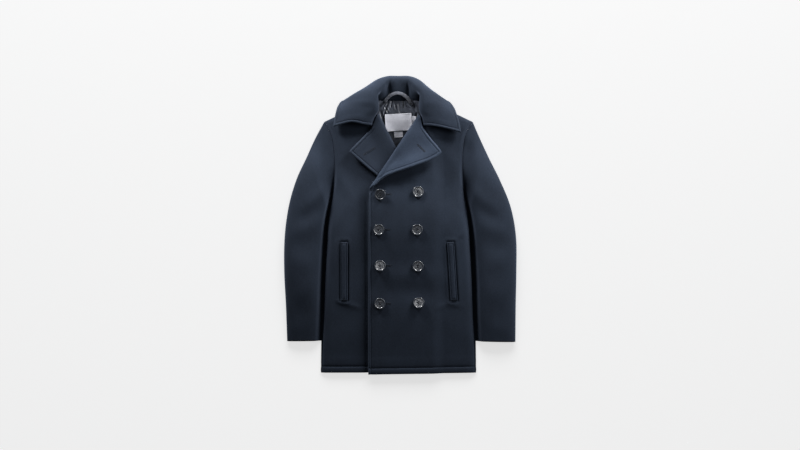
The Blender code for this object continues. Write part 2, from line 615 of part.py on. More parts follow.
def make_lining(coat):
    """The part of the quilted lining that shows in the neck."""
    xs = np.linspace(-LINING["half"], LINING["half"], 19)
    sides = smoothstep(np.abs(xs), LINING["corner_from"], LINING["half"])
    top = LINING["high"] + (LINING["corner"] - LINING["high"]) * sides
    rows = np.linspace(0, 1, 15)[:, None]
    y = LINING["low"] + rows * (top - LINING["low"])[None]
    x = np.broadcast_to(xs[None], y.shape)
    outer = np.stack([x, y, lining_z(x, y)], axis=-1)
    down = np.stack([0 * x, 0 * x, lining_base(x, y) - outer[..., 2]], axis=-1)
    wall("lining_neck", outer, down, coat, 1.0, "quilted_lining")


def make_labels(coat):
    """Bare woven labels sewn to the lining."""
    for name, (x, y, width, height, turn, clearance) in LABELS.items():
        angle = math.radians(turn)
        u, v = np.meshgrid(np.linspace(-0.5, 0.5, 4) * width, np.linspace(-0.5, 0.5, 5) * height)
        px = x + u * math.cos(angle) - v * math.sin(angle)
        py = y + u * math.sin(angle) + v * math.cos(angle)
        z = lining_base(px, py) + LINING_THICK + PUCKER + clearance
        outer = np.stack([px, py, z], axis=-1)
        down = np.broadcast_to(DOWN, outer.shape)
        wall(name, outer, down, coat, LABEL_THICK, "woven_label")


def make_loop(coat):
    """The hanger loop, whose middle stands up against the collar's stand."""
    t = np.linspace(0, 1, 13)
    start, end = np.array(LOOP["start"]), np.array(LOOP["end"])
    line = start + (end - start) * t[:, None]
    rise = np.sin(math.pi * t) ** 0.75
    line[:, 1] += LOOP["rise"] * rise
    plan = strip_along(line, LOOP["width"], 2)
    z = LOOP_HEIGHT[0] + (LOOP_HEIGHT[1] - LOOP_HEIGHT[0]) * np.sqrt(rise)
    z = np.broadcast_to(z[:, None, None], (*plan.shape[:2], 1))
    outer = np.concatenate([plan, z], axis=-1)
    down = np.broadcast_to(DOWN, outer.shape)
    wall("hanger_loop", outer, down, coat, LOOP["thick"], "quilted_lining")


# ---------------------------------------------------------------- buttons


def button_mesh():
    """A turned button with a raised rim, its underside at z = 0."""
    b = BUTTON
    profile = [
        (b["foot"], 0), (b["radius"], BUTTON_EDGE), (b["radius"], b["thick"] - BUTTON_EDGE),
        (b["rim"] + BUTTON_EDGE, b["thick"]), (b["rim"], b["thick"]), (b["dish"], b["dish_z"]),
    ]
    turns = [2 * math.pi * k / BUTTON_SEGMENTS for k in range(BUTTON_SEGMENTS)]
    bm = bmesh.new()
    rings = []
    for radius, z in profile:
        ring = [Vector((radius * math.cos(a), radius * math.sin(a), z)) * MM for a in turns]
        rings.append([bm.verts.new(point) for point in ring])
    for low, high in zip(rings[:-1], rings[1:]):
        for k in range(BUTTON_SEGMENTS):
            n = (k + 1) % BUTTON_SEGMENTS
            bm.faces.new((low[k], low[n], high[n], high[k]))
    bm.faces.new(rings[0][::-1])
    bm.faces.new(rings[-1])
    mesh = bpy.data.meshes.new("button")
    bm.to_mesh(mesh)
    bm.free()
    return mesh


def hole_cutter():
    """The four sewing holes, as one mesh of six-sided pins."""
    radius, spread = BUTTON_HOLE["radius"] * MM, BUTTON_HOLE["spread"] * MM
    bm = bmesh.new()
    for k in range(4):
        angle = math.pi / 4 + k * math.pi / 2
        pin = bmesh.ops.create_cone(
            bm, cap_ends=True, segments=6, radius1=radius, radius2=radius,
            depth=3 * BUTTON["thick"] * MM,
        )
        place = (spread * math.cos(angle), spread * math.sin(angle), 0)
        bmesh.ops.translate(bm, verts=pin["verts"], vec=place)
    mesh = bpy.data.meshes.new("holes")
    bm.to_mesh(mesh)
    bm.free()
    cutter = bpy.data.objects.new("holes", mesh)
    cutter.hide_render = True
    cutter.display_type = "WIRE"
    bpy.context.scene.collection.objects.link(cutter)
    return cutter


def pierced(mesh):
    """The mesh with the sewing holes cut through it."""
    cutter = hole_cutter()
    blank = bpy.data.objects.new("blank", mesh)
    bpy.context.scene.collection.objects.link(blank)
    cut = blank.modifiers.new("holes", "BOOLEAN")
    cut.object = cutter
    view = bpy.context.evaluated_depsgraph_get()
    result = bpy.data.meshes.new_from_object(blank.evaluated_get(view))
    bpy.data.objects.remove(blank)
    bpy.data.objects.remove(cutter)
    return result


def top_of(obj):
    """A function for the height of a piece's upper side at a plan point, in mm."""
    points = [v.co for v in obj.data.vertices]
    tree = BVHTree.FromPolygons(points, [tuple(p.vertices) for p in obj.data.polygons])

    def height(x, y):
        hit = tree.ray_cast(Vector((x * MM, y * MM, 1)), Vector((0, 0, -1)))[0]
        return hit.z / MM

    return height


def make_buttons(coat, front):
    """Eight buttons, each seated on the slope of the upper front beneath it."""
    mesh = pierced(button_mesh())
    mesh.materials.append(finish("horn_button"))
    mesh.set_sharp_from_angle(angle=math.radians(35))
    surface = top_of(front)
    reach = BUTTON["radius"]
    radii = np.linspace(0, reach, 5)
    turns = np.arange(16) * math.pi / 8
    disc = [(r * math.cos(a), r * math.sin(a)) for r in radii for a in turns]
    for name, (x, y) in BUTTONS.items():
        slope_x = (surface(x + reach, y) - surface(x - reach, y)) / (2 * reach)
        slope_y = (surface(x, y + reach) - surface(x, y - reach)) / (2 * reach)
        seat = max(surface(x + u, y + v) - slope_x * u - slope_y * v for u, v in disc)
        obj = bpy.data.objects.new(name, mesh)
        bpy.context.scene.collection.objects.link(obj)
        obj.parent = coat
        obj.location = (x * MM, y * MM, (seat + SEAM) * MM)
        obj.rotation_euler = (math.atan(slope_y), -math.atan(slope_x), 0)


# ---------------------------------------------------------------- the coat


def main():
    for obj in list(bpy.data.objects):
        bpy.data.objects.remove(obj)
    coat = bpy.data.objects.new("coat", None)
    coat.location = (-PLAN_MIDDLE[0] * MM, -PLAN_MIDDLE[1] * MM, 0)
    bpy.context.scene.collection.objects.link(coat)
    make_backs(coat)
    upper_front = make_fronts(coat)
    make_sleeves(coat)
    make_collar(coat)
    make_welts(coat)
    make_lining(coat)
    make_labels(coat)
    make_loop(coat)
    make_buttons(coat, upper_front)


main()
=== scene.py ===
"""A double-breasted pea coat laid flat on its back: cloth, seams, stitching, lining and buttons.

Sizes are in millimetres in the coat's own plan: x = 0 is the centre front, y = 0 the hem, +Y the
way to the collar, +X the wearer's left and z = 0 the floor. to_row() takes them to the frame.
"""

import json
import math

import bpy
import numpy as np
from mathutils import Matrix, Vector
from mathutils.bvhtree import BVHTree

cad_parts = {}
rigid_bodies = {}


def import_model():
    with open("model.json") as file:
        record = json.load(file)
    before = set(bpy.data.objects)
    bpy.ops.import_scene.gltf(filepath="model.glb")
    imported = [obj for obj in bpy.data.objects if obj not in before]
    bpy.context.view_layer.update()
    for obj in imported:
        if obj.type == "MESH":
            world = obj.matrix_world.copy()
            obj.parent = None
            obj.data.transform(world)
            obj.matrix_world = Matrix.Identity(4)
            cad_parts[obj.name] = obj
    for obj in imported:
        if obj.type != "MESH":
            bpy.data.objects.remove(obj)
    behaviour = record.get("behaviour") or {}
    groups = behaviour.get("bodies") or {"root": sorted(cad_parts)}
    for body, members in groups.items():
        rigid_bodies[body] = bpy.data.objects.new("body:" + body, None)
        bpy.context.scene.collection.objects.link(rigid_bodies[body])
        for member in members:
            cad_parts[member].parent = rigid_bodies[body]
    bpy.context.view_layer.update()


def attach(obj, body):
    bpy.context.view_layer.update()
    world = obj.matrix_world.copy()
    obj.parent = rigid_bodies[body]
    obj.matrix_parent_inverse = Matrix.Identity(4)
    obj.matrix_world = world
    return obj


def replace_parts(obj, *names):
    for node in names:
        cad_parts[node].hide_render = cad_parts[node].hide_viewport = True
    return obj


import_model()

MM = 0.001
SIDES = {"left": 1, "right": -1}  # the wearer's sides, and the way of x on each

# ---------------------------------------------------------------- the coat's sizes, in mm
CLOTH = 3.0  # heavy melton wool, one layer
SEAM = 0.3  # gap between two pieces at a seam
ON_TOP = 0.5  # clearance of a piece that lies on another
PLAN_MIDDLE = (4.8, 418.0)  # the middle of the coat's footprint in its own plan

SHOULDER = (208.0, 710.0)
NECK = (78.0, 772.0)
SHOULDER_RUN = np.subtract(SHOULDER, NECK) / math.dist(SHOULDER, NECK)
SHOULDER_Z = 14.0
UNDERARM_Y = 505.0
BACK_NECK_Y = 770.0
HEM_RISE = 4.0
FRONT_HEM_Y = {"left": 0.0, "right": 5.0}
FRONT_EDGE_X = -85.0
LAYER_STEP = 2 * CLOTH + SEAM + 2 * ON_TOP

BODY_HALF_WIDTH = {
    4: 218.5, 95: 217.5, 165: 214.5, 260: 212, 350: 207, 420: 203, 460: 198,
    505: 189, 545: 181.5, 594: 179.5, 640: 181.5, 678: 190, 710: 208,
}
CHEST_HEIGHT = {
    0: 12, 60: 18, 130: 25, 200: 30, 300: 35.5, 360: 39, 400: 39.5, 440: 38, 500: 33, 560: 27, 600: 25,
    700: 27, 780: 27,
}
SIDE_SEAM_HEIGHT = {0: 6, 300: 5, 430: 5, 505: 6}
FRONT_ARMHOLE_HEIGHT = {505: 6, 535: 13, 570: 18, 640: 21, 680: 20, 700: 16.5, 710: 14}
BACK_ARMHOLE_HEIGHT = {505: 6, 535: 4, 570: 1, 640: 1, 680: 3, 700: 9, 710: 14}

CHEST_REACH = 80.0
SIDE_WALL = (5.0, 27.0)  # where the front starts to rise steeply beside the side seam, and where it stops
SIDE_WALL_SHARE = 0.62
CHEST_REACH_AT_ARMHOLE = 28.0
CHEST_REACH_CHANGES_Y = (480.0, 560.0)
CHEST_REACH_AT_SHOULDER = 34.0
BACK_REACH = 15.0
BACK_REACH_AT_SHOULDER = 20.0

UPPER_FRONT_ENDS_X = (92.0, 130.0)
UPPER_FRONT_ENDS_Y = (660.0, 725.0)
LIFT_PAST_ROLL = (9.0, 95.0)
LIFT_PAST_EDGE = (8.0, 260.0)
LIFT_PAST_LOW_END = (-30.0, 150.0)
OVER_COLLAR = 7.0
OVER_COLLAR_Y = (676.0, 744.0)
OVER_COLLAR_X = (122.0, 165.0)

LAPELS = {  # the break line's low and high end, the lapel's tip, the notch
    "left": ((-82.0, 505.0), (65.0, 727.0), (120.5, 621.0), (67.0, 692.0)),
    "right": ((-80.0, 449.0), (64.0, 730.0), (139.5, 624.5), (74.0, 692.0)),
}
LAPEL_GROWS = {  # share of the way up to the tip: share of the lapel's full width
    "left": {0: 0, 0.15: 0.07, 0.28: 0.145, 0.41: 0.28, 0.54: 0.475, 0.7: 0.70, 0.86: 0.9, 1: 1},
    "right": {0: 0, 0.3: 0.31, 0.62: 0.67, 1: 1},
}
ROLL = 2.2
LAPEL_SETTLED = 1.2
LAPEL_SETTLES_OVER = 40.0
LAPEL_TIP_LIFT = {"left": 14.0, "right": 9.0}
LAPEL_LIFTS_OVER = {"left": (8.0, 110.0), "right": (40.0, 120.0)}
LAPEL_CURL = {"left": 7.0, "right": 0.0}  # how far the lapel's edge below its tip curls up
LAPEL_CURLS_OVER = 30.0
LAPEL_CURL_STARTS = (2, 20)
LAPEL_TIP_ROUND = {"reach": 5.0, "inward": 3.0}
LAPEL_LAYERS = 2 * CLOTH + SEAM
FACING_START = {"left": 0.0, "right": 470.0}
FACING_FROM = 1 / 3  # share of the way from neck point to break line where the facing starts

SLEEVES = {  # how far down: the outer fold's x and y, the inner fold's y, the thickness
    "left": {
        0.08: (226, 669, 482, 38), 0.20: (253, 610, 456, 42), 0.34: (286, 543, 415, 44),
        0.48: (315, 470, 362, 43), 0.62: (330, 386, 292, 42), 0.76: (331, 285, 222, 40),
        0.88: (329.5, 190, 158, 34), 1.00: (329, 91, 93, 25),
    },
    "right": {
        0.08: (231, 669, 482, 38), 0.20: (257, 612, 456, 42), 0.34: (287, 546, 415, 44),
        0.48: (308, 473, 362, 43), 0.62: (319.5, 388, 292, 42), 0.76: (321, 290, 222, 39),
        0.88: (316.5, 190, 158, 30), 1.00: (313.5, 93, 94, 20),
    },
}
SLEEVE_HEAD_HEIGHT = 33.0
SLEEVE_CLEARANCE = -0.2  # the sleeves are sewn on, and lie against the body
SLEEVE_FOLD_SHARE = (0.38, 0.14)  # height of the outer and the inner fold, as a share of the thickness
SLEEVE_FOLD_AT = (0.35, 0.9)  # where across the sleeve these two shares hold
SLEEVE_CREASE = 18.0  # how far from its inner fold a sleeve has risen out of the crease
SLEEVE_TOP_ROUND = 2.3
SLEEVE_UNDER_ROUND = 3.2
SLEEVE_HEAD_SHARE = 0.3
ARMHOLE_MARKS = UNDERARM_Y + (SHOULDER[1] - UNDERARM_Y) * np.sort([*np.linspace(0, 1, 11), 0.025, 0.055])

COLLAR = {  # round the neck: the seam, the fold at the neck, the turn, the fall, the outer edge
    "notch": ((71.5, 697, 39.5), (80, 697, 42), (91, 696, 44), (127, 690, 43), (174, 678, 38)),
    "gorge": ((68, 716, 38), (75.5, 717, 43), (88, 718, 46), (119, 715, 45), (170, 703, 36)),
    "front": ((64.5, 738, 34), (61.5, 739, 42), (70, 740, 48), (112, 740, 46), (162, 729, 32)),
    "side": ((70, 759, 26), (61, 760, 44), (71, 763, 51), (108, 763, 43), (153, 750, 21)),
    "shoulder": ((73, 777, 18), (60.5, 787, 43), (69, 795, 47), (101, 787, 33), (137, 765, 9)),
    "corner": ((50, 772.3, 11.2), (42, 812, 34), (55, 822, 29), (79, 803, 12), (106, 756, 4)),
    "back": ((26, 771.4, 10.6), (24, 826, 25), (31, 835, 16), (44, 815, 4.5), (60, 748, 3.2)),
    "centre": ((0, 770.7, 10.6), (0, 828, 22), (0, 836, 13), (0, 815, 4), (0, 746, 3.2)),
}
COLLAR_ACROSS = (0, 0.26, 0.42, 0.7, 1.0)
COLLAR_RIGHT = {  # the sections that lie differently on the wearer's right, wider and higher
    "notch": ((76, 698, 34.5), (85, 699, 39.5), (97, 700, 43), (133, 706, 43), (181, 694, 38)),
    "gorge": ((70.5, 716, 35), (78, 718, 41.5), (91, 721, 46), (126, 722, 45), (179, 712, 36)),
    "front": ((64, 738, 34), (60, 740, 42), (70, 743, 48), (119, 746, 46), (174, 736, 32)),
    "side": ((69, 759, 26), (59, 761, 44), (72, 765, 51), (118, 766, 43), (168, 753, 21)),
    "shoulder": ((72, 777, 18), (59, 787, 43), (72, 795, 47), (115, 788, 33), (156, 765, 9)),
    "corner": ((50, 772.3, 11.2), (42, 812, 34), (58, 822, 29), (88, 803, 12), (119, 756, 4)),
}

WELT_WIDTH = 19.0
WELTS = {"left": ((145, 372), (155.5, 209)), "right": ((151, 372), (152, 209))}
LINING = {"half": 100.0, "low": 590.0, "high": 769.0, "corner": 735.0, "corner_from": 50.0}
LINING_THICK = 1.5
LINING_CLEARANCE = 1.0
PUCKER = 1.4
LABELS = {  # centre (x, y), width, height, turn in degrees, top over the lining's puckers
    "label_main": (0.0, 708.5, 76.0, 48.0, 3.0, 2.5),
    "label_size": (0.0, 675.0, 25.0, 17.0, 4.0, 0.9),
    "label_care": (35.0, 714.0, 28.0, 26.0, -6.0, 1.2),
}
LABEL_THICK = 0.6
LOOP = {"start": (-40.0, 763.0), "end": (38.0, 758.0), "rise": 29.0, "width": 9.0, "thick": 2.4}
LOOP_HEIGHT = (15.9, 25.0)

# ---------------------------------------------------------------- seams, stitching and folds
SEAM_ROUND = 1.8  # how soon a panel turns down into a seam
SEAM_SWELL = (0.4, 14)  # height and reach of the swelling beside a seam
EDGE_ROUND = 1.5
UNDERSIDE_ROUND = 0.8
SWELL_POWER = 0.8
STITCH_FROM_EDGE = 7.5  # topstitching along the front edge, lapels and collar
TOPSTITCHED = {"at": STITCH_FROM_EDGE, "swell": 0.9, "sunk": 0.9, "width": 1.1, "past": 0.3, "past_to": 26}
HEMMED = {"at": 18.0, "swell": 0.9, "sunk": 1.1, "width": 1.8, "past": 0.4, "past_to": 50}
STITCH = (2.7, 0.62, 0.62)  # a stitch's length, width and thickness
STITCH_SPACING = 3.6
STITCH_SUNK = 0.9 * 0.95
STITCH_SHOWS = 0.25
PATH_STEP = 1.0  # of the paths that stitches follow round bends
STRAIGHT_PATH_STEP = 2.0
PRESSED = (2.0, 3.2)  # how far from an edge the cloth is pressed most, and over what width
UNDER_EDGE = {"depth": 2.3, "past": 2.5, "width": 4.0, "fades": 30}  # the lower front beside the upper one
FOLD_SHAPE = (0.55, 0.45)  # share of a fold's height at its ends, and what its middle adds

# ---------------------------------------------------------------- curves


def curve(table, at):
    """A smooth curve through a table's rows: cubic Hermite with finite-difference slopes."""
    keys = np.array(list(table.keys()), float)
    rows = np.array(list(table.values()), float)
    rows = rows.reshape(len(keys), -1)
    slopes = np.gradient(rows, keys, axis=0)
    at = np.asarray(at, float)
    flat = at.ravel()
    index = np.clip(np.searchsorted(keys, flat) - 1, 0, len(keys) - 2)
    step = (keys[index + 1] - keys[index])[:, None]
    s = np.clip((flat - keys[index])[:, None] / step, 0, 1)
    value = (2 * s**3 - 3 * s**2 + 1) * rows[index]
    value = value + (s**3 - 2 * s**2 + s) * step * slopes[index]
    value = value + (3 * s**2 - 2 * s**3) * rows[index + 1]
    value = value + (s**3 - s**2) * step * slopes[index + 1]
    return value[:, 0].reshape(at.shape) if rows.shape[1] == 1 else value


def smoothstep(value, low, high):
    s = np.clip((np.asarray(value, float) - low) / (high - low), 0, 1)
    return s * s * (3 - 2 * s)


def rounding(distance, radius):
    """0 at an edge and 1 from radius inwards, along a quarter of an ellipse."""
    s = np.clip(np.asarray(distance, float) / radius, 0, 1)
    return np.sqrt(1 - (1 - s) ** 2)


def along_lines(points, share):
    """The points at these shares of the length of a run of straight lines."""
    points = np.array(points, float)
    steps = np.linalg.norm(np.diff(points, axis=0), axis=1)
    lengths = np.concatenate([[0], np.cumsum(steps)])
    at = np.asarray(share, float) * lengths[-1]
    return np.stack([np.interp(at, lengths, points[:, k]) for k in range(points.shape[1])], axis=-1)


def marks(*runs):
    """Positions along a line, from 0, in runs of (end, step)."""
    at = [0.0]
    for end, step in runs:
        count = max(1, round((end - at[-1]) / step))
        at.extend(np.linspace(at[-1], end, count + 1)[1:])
    return np.array(at)


def distance_to(points, line):
    """Distance of each plan point from a run of straight lines."""
    best = np.full(points.shape[:-1], np.inf)
    for a, b in zip(line[:-1], line[1:]):
        run = b - a
        t = np.clip(((points - a) @ run) / max(run @ run, 1e-12), 0, 1)
        best = np.minimum(best, np.linalg.norm(points - a - t[..., None] * run, axis=-1))
    return best


# ---------------------------------------------------------------- relief across an edge or seam


def band(d, start, end):
    """A soft swelling between two distances from an edge."""
    return np.sin(math.pi * np.clip((d - start) / (end - start), 0, 1)) ** SWELL_POWER


def groove(d, at, width):
    return np.exp(-(((d - at) / width) ** 2))


def turned_down(d, radius):
    """A surface that rounds over at an edge."""
    return radius * (rounding(d, radius) - 1)


def sewn_down(d, at, swell, sunk, width, past, past_to):
    """Relief beside an edge that is turned in and sewn down along a line."""
    relief = turned_down(d, EDGE_ROUND) + swell * band(d, 0, at)
    return relief - sunk * groove(d, at, width) + past * band(d, at, past_to)


def seamed(d):
    """Relief beside a plain seam."""
    return turned_down(d, SEAM_ROUND) + SEAM_SWELL[0] * band(d, 0, SEAM_SWELL[1])


# ---------------------------------------------------------------- soft folds in the cloth

# start, end, half width and height of each fold, in plan; a negative height is a dip.
CHEST_FOLDS = (
    ((-60, 282), (110, 278), 28, 2.2), ((-60, 235), (120, 228), 26, -1.6),
    ((-70, 470), (40, 520), 34, 1.6), ((60, 560), (150, 520), 36, 1.8), ((20, 360), (120, 300), 50, 1.4),
    ((-60, 250), (60, 150), 55, 1.2), ((100, 120), (190, 60), 40, -1.0), ((-120, 420), (-170, 330), 30, 1.3),
    ((-110, 180), (-190, 130), 34, -1.2), ((150, 470), (185, 400), 16, 1.6),
    ((-150, 470), (-188, 400), 16, 1.6),
    ((-160, 560), (-130, 470), 16, 1.5), ((160, 560), (132, 470), 16, 1.5),
    ((140, 198), (172, 194), 7, 1.6), ((-140, 197), (-168, 207), 7, 1.8), ((-110, 188), (-140, 200), 8, 1.3),
    ((130, 200), (112, 186), 8, 1.2), ((176, 370), (168, 212), 6, 0.9), ((-176, 370), (-173, 212), 6, 0.9),
    ((162, 384), (185, 400), 9, 0.9), ((-40, 553), (46, 587), 20, 2.6), ((46, 587), (118, 634), 20, 2.6),
)
SLEEVE_FOLDS = (
    ((200, 520), (262, 470), 20, 2.0), ((214, 470), (280, 430), 20, -1.8), ((228, 420), (300, 400), 22, 1.8),
    ((236, 370), (310, 350), 24, -1.2), ((300, 330), (236, 300), 24, 1.4), ((244, 250), (300, 205), 26, 1.3),
    ((310, 240), (270, 150), 22, -1.0), ((246, 150), (305, 120), 20, 1.0), ((222, 640), (214, 560), 14, 1.4),
    ((240, 600), (286, 500), 26, 1.2),
)


def folds(x, y, table):
    """Height of these soft folds at plan points. Each fades out towards its ends."""
    height = np.zeros(np.shape(x))
    for start, end, width, rise in table:
        start, run = np.array(start, float), np.subtract(end, start).astype(float)
        t = np.clip(((x - start[0]) * run[0] + (y - start[1]) * run[1]) / (run @ run), 0, 1)
        across = ((x - start[0] - t * run[0]) ** 2 + (y - start[1] - t * run[1]) ** 2) / width**2
        height = height + rise * np.exp(-across) * (FOLD_SHAPE[0] + FOLD_SHAPE[1] * np.sin(math.pi * t))
    return height


# ---------------------------------------------------------------- heights over the plan


def half_width(y):
    return curve(BODY_HALF_WIDTH, y)


def below_shoulder(x, y):
    """How far plan points lie below the shoulder seam."""
    return (np.abs(x) - NECK[0]) * SHOULDER_RUN[1] - (y - NECK[1]) * SHOULDER_RUN[0]


def side_z(y, armhole_height):
    return np.where(y <= UNDERARM_Y, curve(SIDE_SEAM_HEIGHT, y), curve(armhole_height, y))


def chest_z(x, y):
    """Height of the lower front's outer face."""
    side = side_z(y, FRONT_ARMHOLE_HEIGHT) + SEAM / 2
    narrower = smoothstep(y, *CHEST_REACH_CHANGES_Y)
    reach = CHEST_REACH + (CHEST_REACH_AT_ARMHOLE - CHEST_REACH) * narrower
    from_side = half_width(y) - np.abs(x)
    wall = SIDE_WALL_SHARE * (1 - narrower)
    steep = rounding(from_side - SIDE_WALL[0], SIDE_WALL[1] - SIDE_WALL[0])
    off_seam = smoothstep(from_side, 0, 2 * SIDE_WALL[0])
    risen = wall * steep + (1 - wall) * rounding(from_side, reach) * off_seam
    z = side + (curve(CHEST_HEIGHT, y) - side) * risen
    seam_z = SHOULDER_Z + SEAM / 2
    return seam_z + (z - seam_z) * rounding(below_shoulder(x, y), CHEST_REACH_AT_SHOULDER)


def lower_lapel_lift(x, y):
    """How much the lower front's lapel lifts the upper front that covers it."""
    low, high, tip, _notch = (np.multiply(p, (-1, 1)) for p in LAPELS["right"])
    along = (high - low) / math.dist(high, low)
    rel_x, rel_y = x - low[0], y - low[1]
    past_roll = rel_x * along[1] - rel_y * along[0]
    edge = (tip - low) / math.dist(tip, low)
    past_edge = -(rel_x * edge[1] - rel_y * edge[0])
    past_low = -(rel_x * along[0] + rel_y * along[1])
    height = 2 * ROLL + LAPEL_LAYERS - LAPEL_SETTLED + 2 * ON_TOP
    fade = (1 - smoothstep(past_roll, *LIFT_PAST_ROLL)) * (1 - smoothstep(past_edge, *LIFT_PAST_EDGE))
    return height * fade * (1 - smoothstep(past_low, *LIFT_PAST_LOW_END))


def upper_chest_z(x, y):
    """Height of the upper front's outer face, over the lower front and then on the chest."""
    over = (1 - smoothstep(x, *UPPER_FRONT_ENDS_X)) * (1 - smoothstep(y, *UPPER_FRONT_ENDS_Y))
    return chest_z(x, y) + LAYER_STEP * over + lower_lapel_lift(x, y)


def back_z(x, y):
    """Height of the back's outer face."""
    side = side_z(y, BACK_ARMHOLE_HEIGHT) - SEAM / 2
    z = side * (1 - rounding(half_width(y) - np.abs(x), BACK_REACH))
    over_collar = smoothstep(y, *OVER_COLLAR_Y) * (1 - smoothstep(np.abs(x), *OVER_COLLAR_X))
    z = np.maximum(z, OVER_COLLAR * over_collar)
    seam_z = SHOULDER_Z - SEAM / 2
    return seam_z + (z - seam_z) * rounding(below_shoulder(x, y), BACK_REACH_AT_SHOULDER)


def lining_base(x, y):
    return back_z(x, y) + CLOTH + LINING_CLEARANCE


def front_z(side, x, y, lift=0.0):
    """Height of a front's outer face, with this much added to it."""
    base = upper_chest_z(x, y) if side == "left" else chest_z(x, y)
    return base + lift + folds(x * SIDES[side], y, CHEST_FOLDS)


# ---------------------------------------------------------------- grids and pieces


def unit(vectors):
    return vectors / np.maximum(np.linalg.norm(vectors, axis=-1, keepdims=True), 1e-9)


def normals(grid, sample, towards):
    """Unit normals of a grid of points, signed so that the one at sample points towards."""
    n = unit(np.cross(np.gradient(grid, axis=0), np.gradient(grid, axis=1)))
    return n if np.dot(n[sample], towards) > 0 else -n


def on_side(side, *grids):
    """Grids drawn on the wearer's left, put on this side of the coat."""
    return [grid * (SIDES[side], 1, 1) for grid in grids]


def at_height(plan, z):
    """A plan grid's points at these heights."""
    return np.concatenate([plan, z[..., None]], axis=-1)


def run_lengths(grid, axis):
    """Length along a grid's lines from their start."""
    steps = np.linalg.norm(np.diff(grid, axis=axis), axis=-1).cumsum(axis=axis)
    start = np.zeros_like(np.take(steps, [0], axis=axis))
    return np.concatenate([start, steps], axis=axis)


def coons(left, right, bottom, top, u, v, top_power):
    """A plan grid between four edges: left and right run with v, bottom and top with u."""
    u = u[None, :, None]
    v = v[:, None, None]
    sides = (1 - u) * left[:, None] + u * right[:, None]
    low = (1 - u) * left[0] + u * right[0]
    high = (1 - u) * left[-1] + u * right[-1]
    return sides + (1 - v) * (bottom[None] - low) + v**top_power * (top[None] - high)


def to_row(points):
    """Plan points in mm, as metres in the row's frame."""
    return (np.asarray(points, float) - (*PLAN_MIDDLE, 0)) * MM


def linked(name, data):
    """A new object in the scene."""
    obj = bpy.data.objects.new(name, data)
    bpy.context.scene.collection.objects.link(obj)
    return obj


def on_coat(obj):
    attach(obj, "root")
    return obj


def cloth(name, near, far, finish, edge=None):
    """A closed sheet of cloth between two grids of points in plan mm; edge is how much each point
    stands on a pressed edge."""
    rows, columns = near.shape[:2]
    count = rows * columns
    points = np.concatenate([near.reshape(-1, 3), far.reshape(-1, 3)])
    index = np.arange(count).reshape(rows, columns)
    corners = (index[:-1, :-1], index[1:, :-1], index[1:, 1:], index[:-1, 1:])
    face = np.stack([k.ravel() for k in corners], axis=-1)
    ring = np.concatenate([index[:, 0], index[-1, 1:], index[-2::-1, -1], index[0, -2:0:-1]])
    after = np.roll(ring, -1)
    rim = np.stack([after, ring, ring + count, after + count], axis=-1)
    faces = np.concatenate([face, face[:, ::-1] + count, rim])
    corner = points[faces]
    volume = 0.0
    for k in (1, 2):
        part = np.cross(corner[:, k], corner[:, k + 1])
        volume += np.einsum("ij,ij->i", corner[:, 0], part).sum()
    if volume < 0:
        faces = faces[:, ::-1]
    mesh = bpy.data.meshes.new(name)
    mesh.from_pydata(to_row(points).tolist(), [], faces.tolist())
    mesh.shade_smooth()
    if edge is not None:
        pressed = mesh.attributes.new("pressed_edge", "FLOAT", "POINT")
        pressed.data.foreach_set("value", np.tile(edge.ravel(), 2))
    mesh.materials.append(finish)
    return linked(name, mesh)


def piece(obj, node):
    """Hangs a finished piece of cloth on the coat and hides the CAD part that it was cut from."""
    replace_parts(on_coat(obj), node)


# ---------------------------------------------------------------- materials


class Value:
    """A number that changes over a surface, with Python's operators as Math nodes."""

    def __init__(self, finish, socket):
        self.finish = finish
        self.socket = socket

    def math(self, operation, other):
        return self.finish.node("ShaderNodeMath", {"operation": operation}, self, other)

    def __add__(self, other):
        return self.math("ADD", other)

    def __mul__(self, other):
        return self.math("MULTIPLY", other)

    def __sub__(self, other):
        return self.math("SUBTRACT", other)

    def __rsub__(self, other):
        return self.finish.node("ShaderNodeMath", {"operation": "SUBTRACT"}, other, self)

    __radd__ = __add__

    def over(self, low, high):
        """0 below low, 1 above high."""
        spread = self.math("SUBTRACT", low).math("DIVIDE", high - low)
        return spread.math("MAXIMUM", 0.0).math("MINIMUM", 1.0)


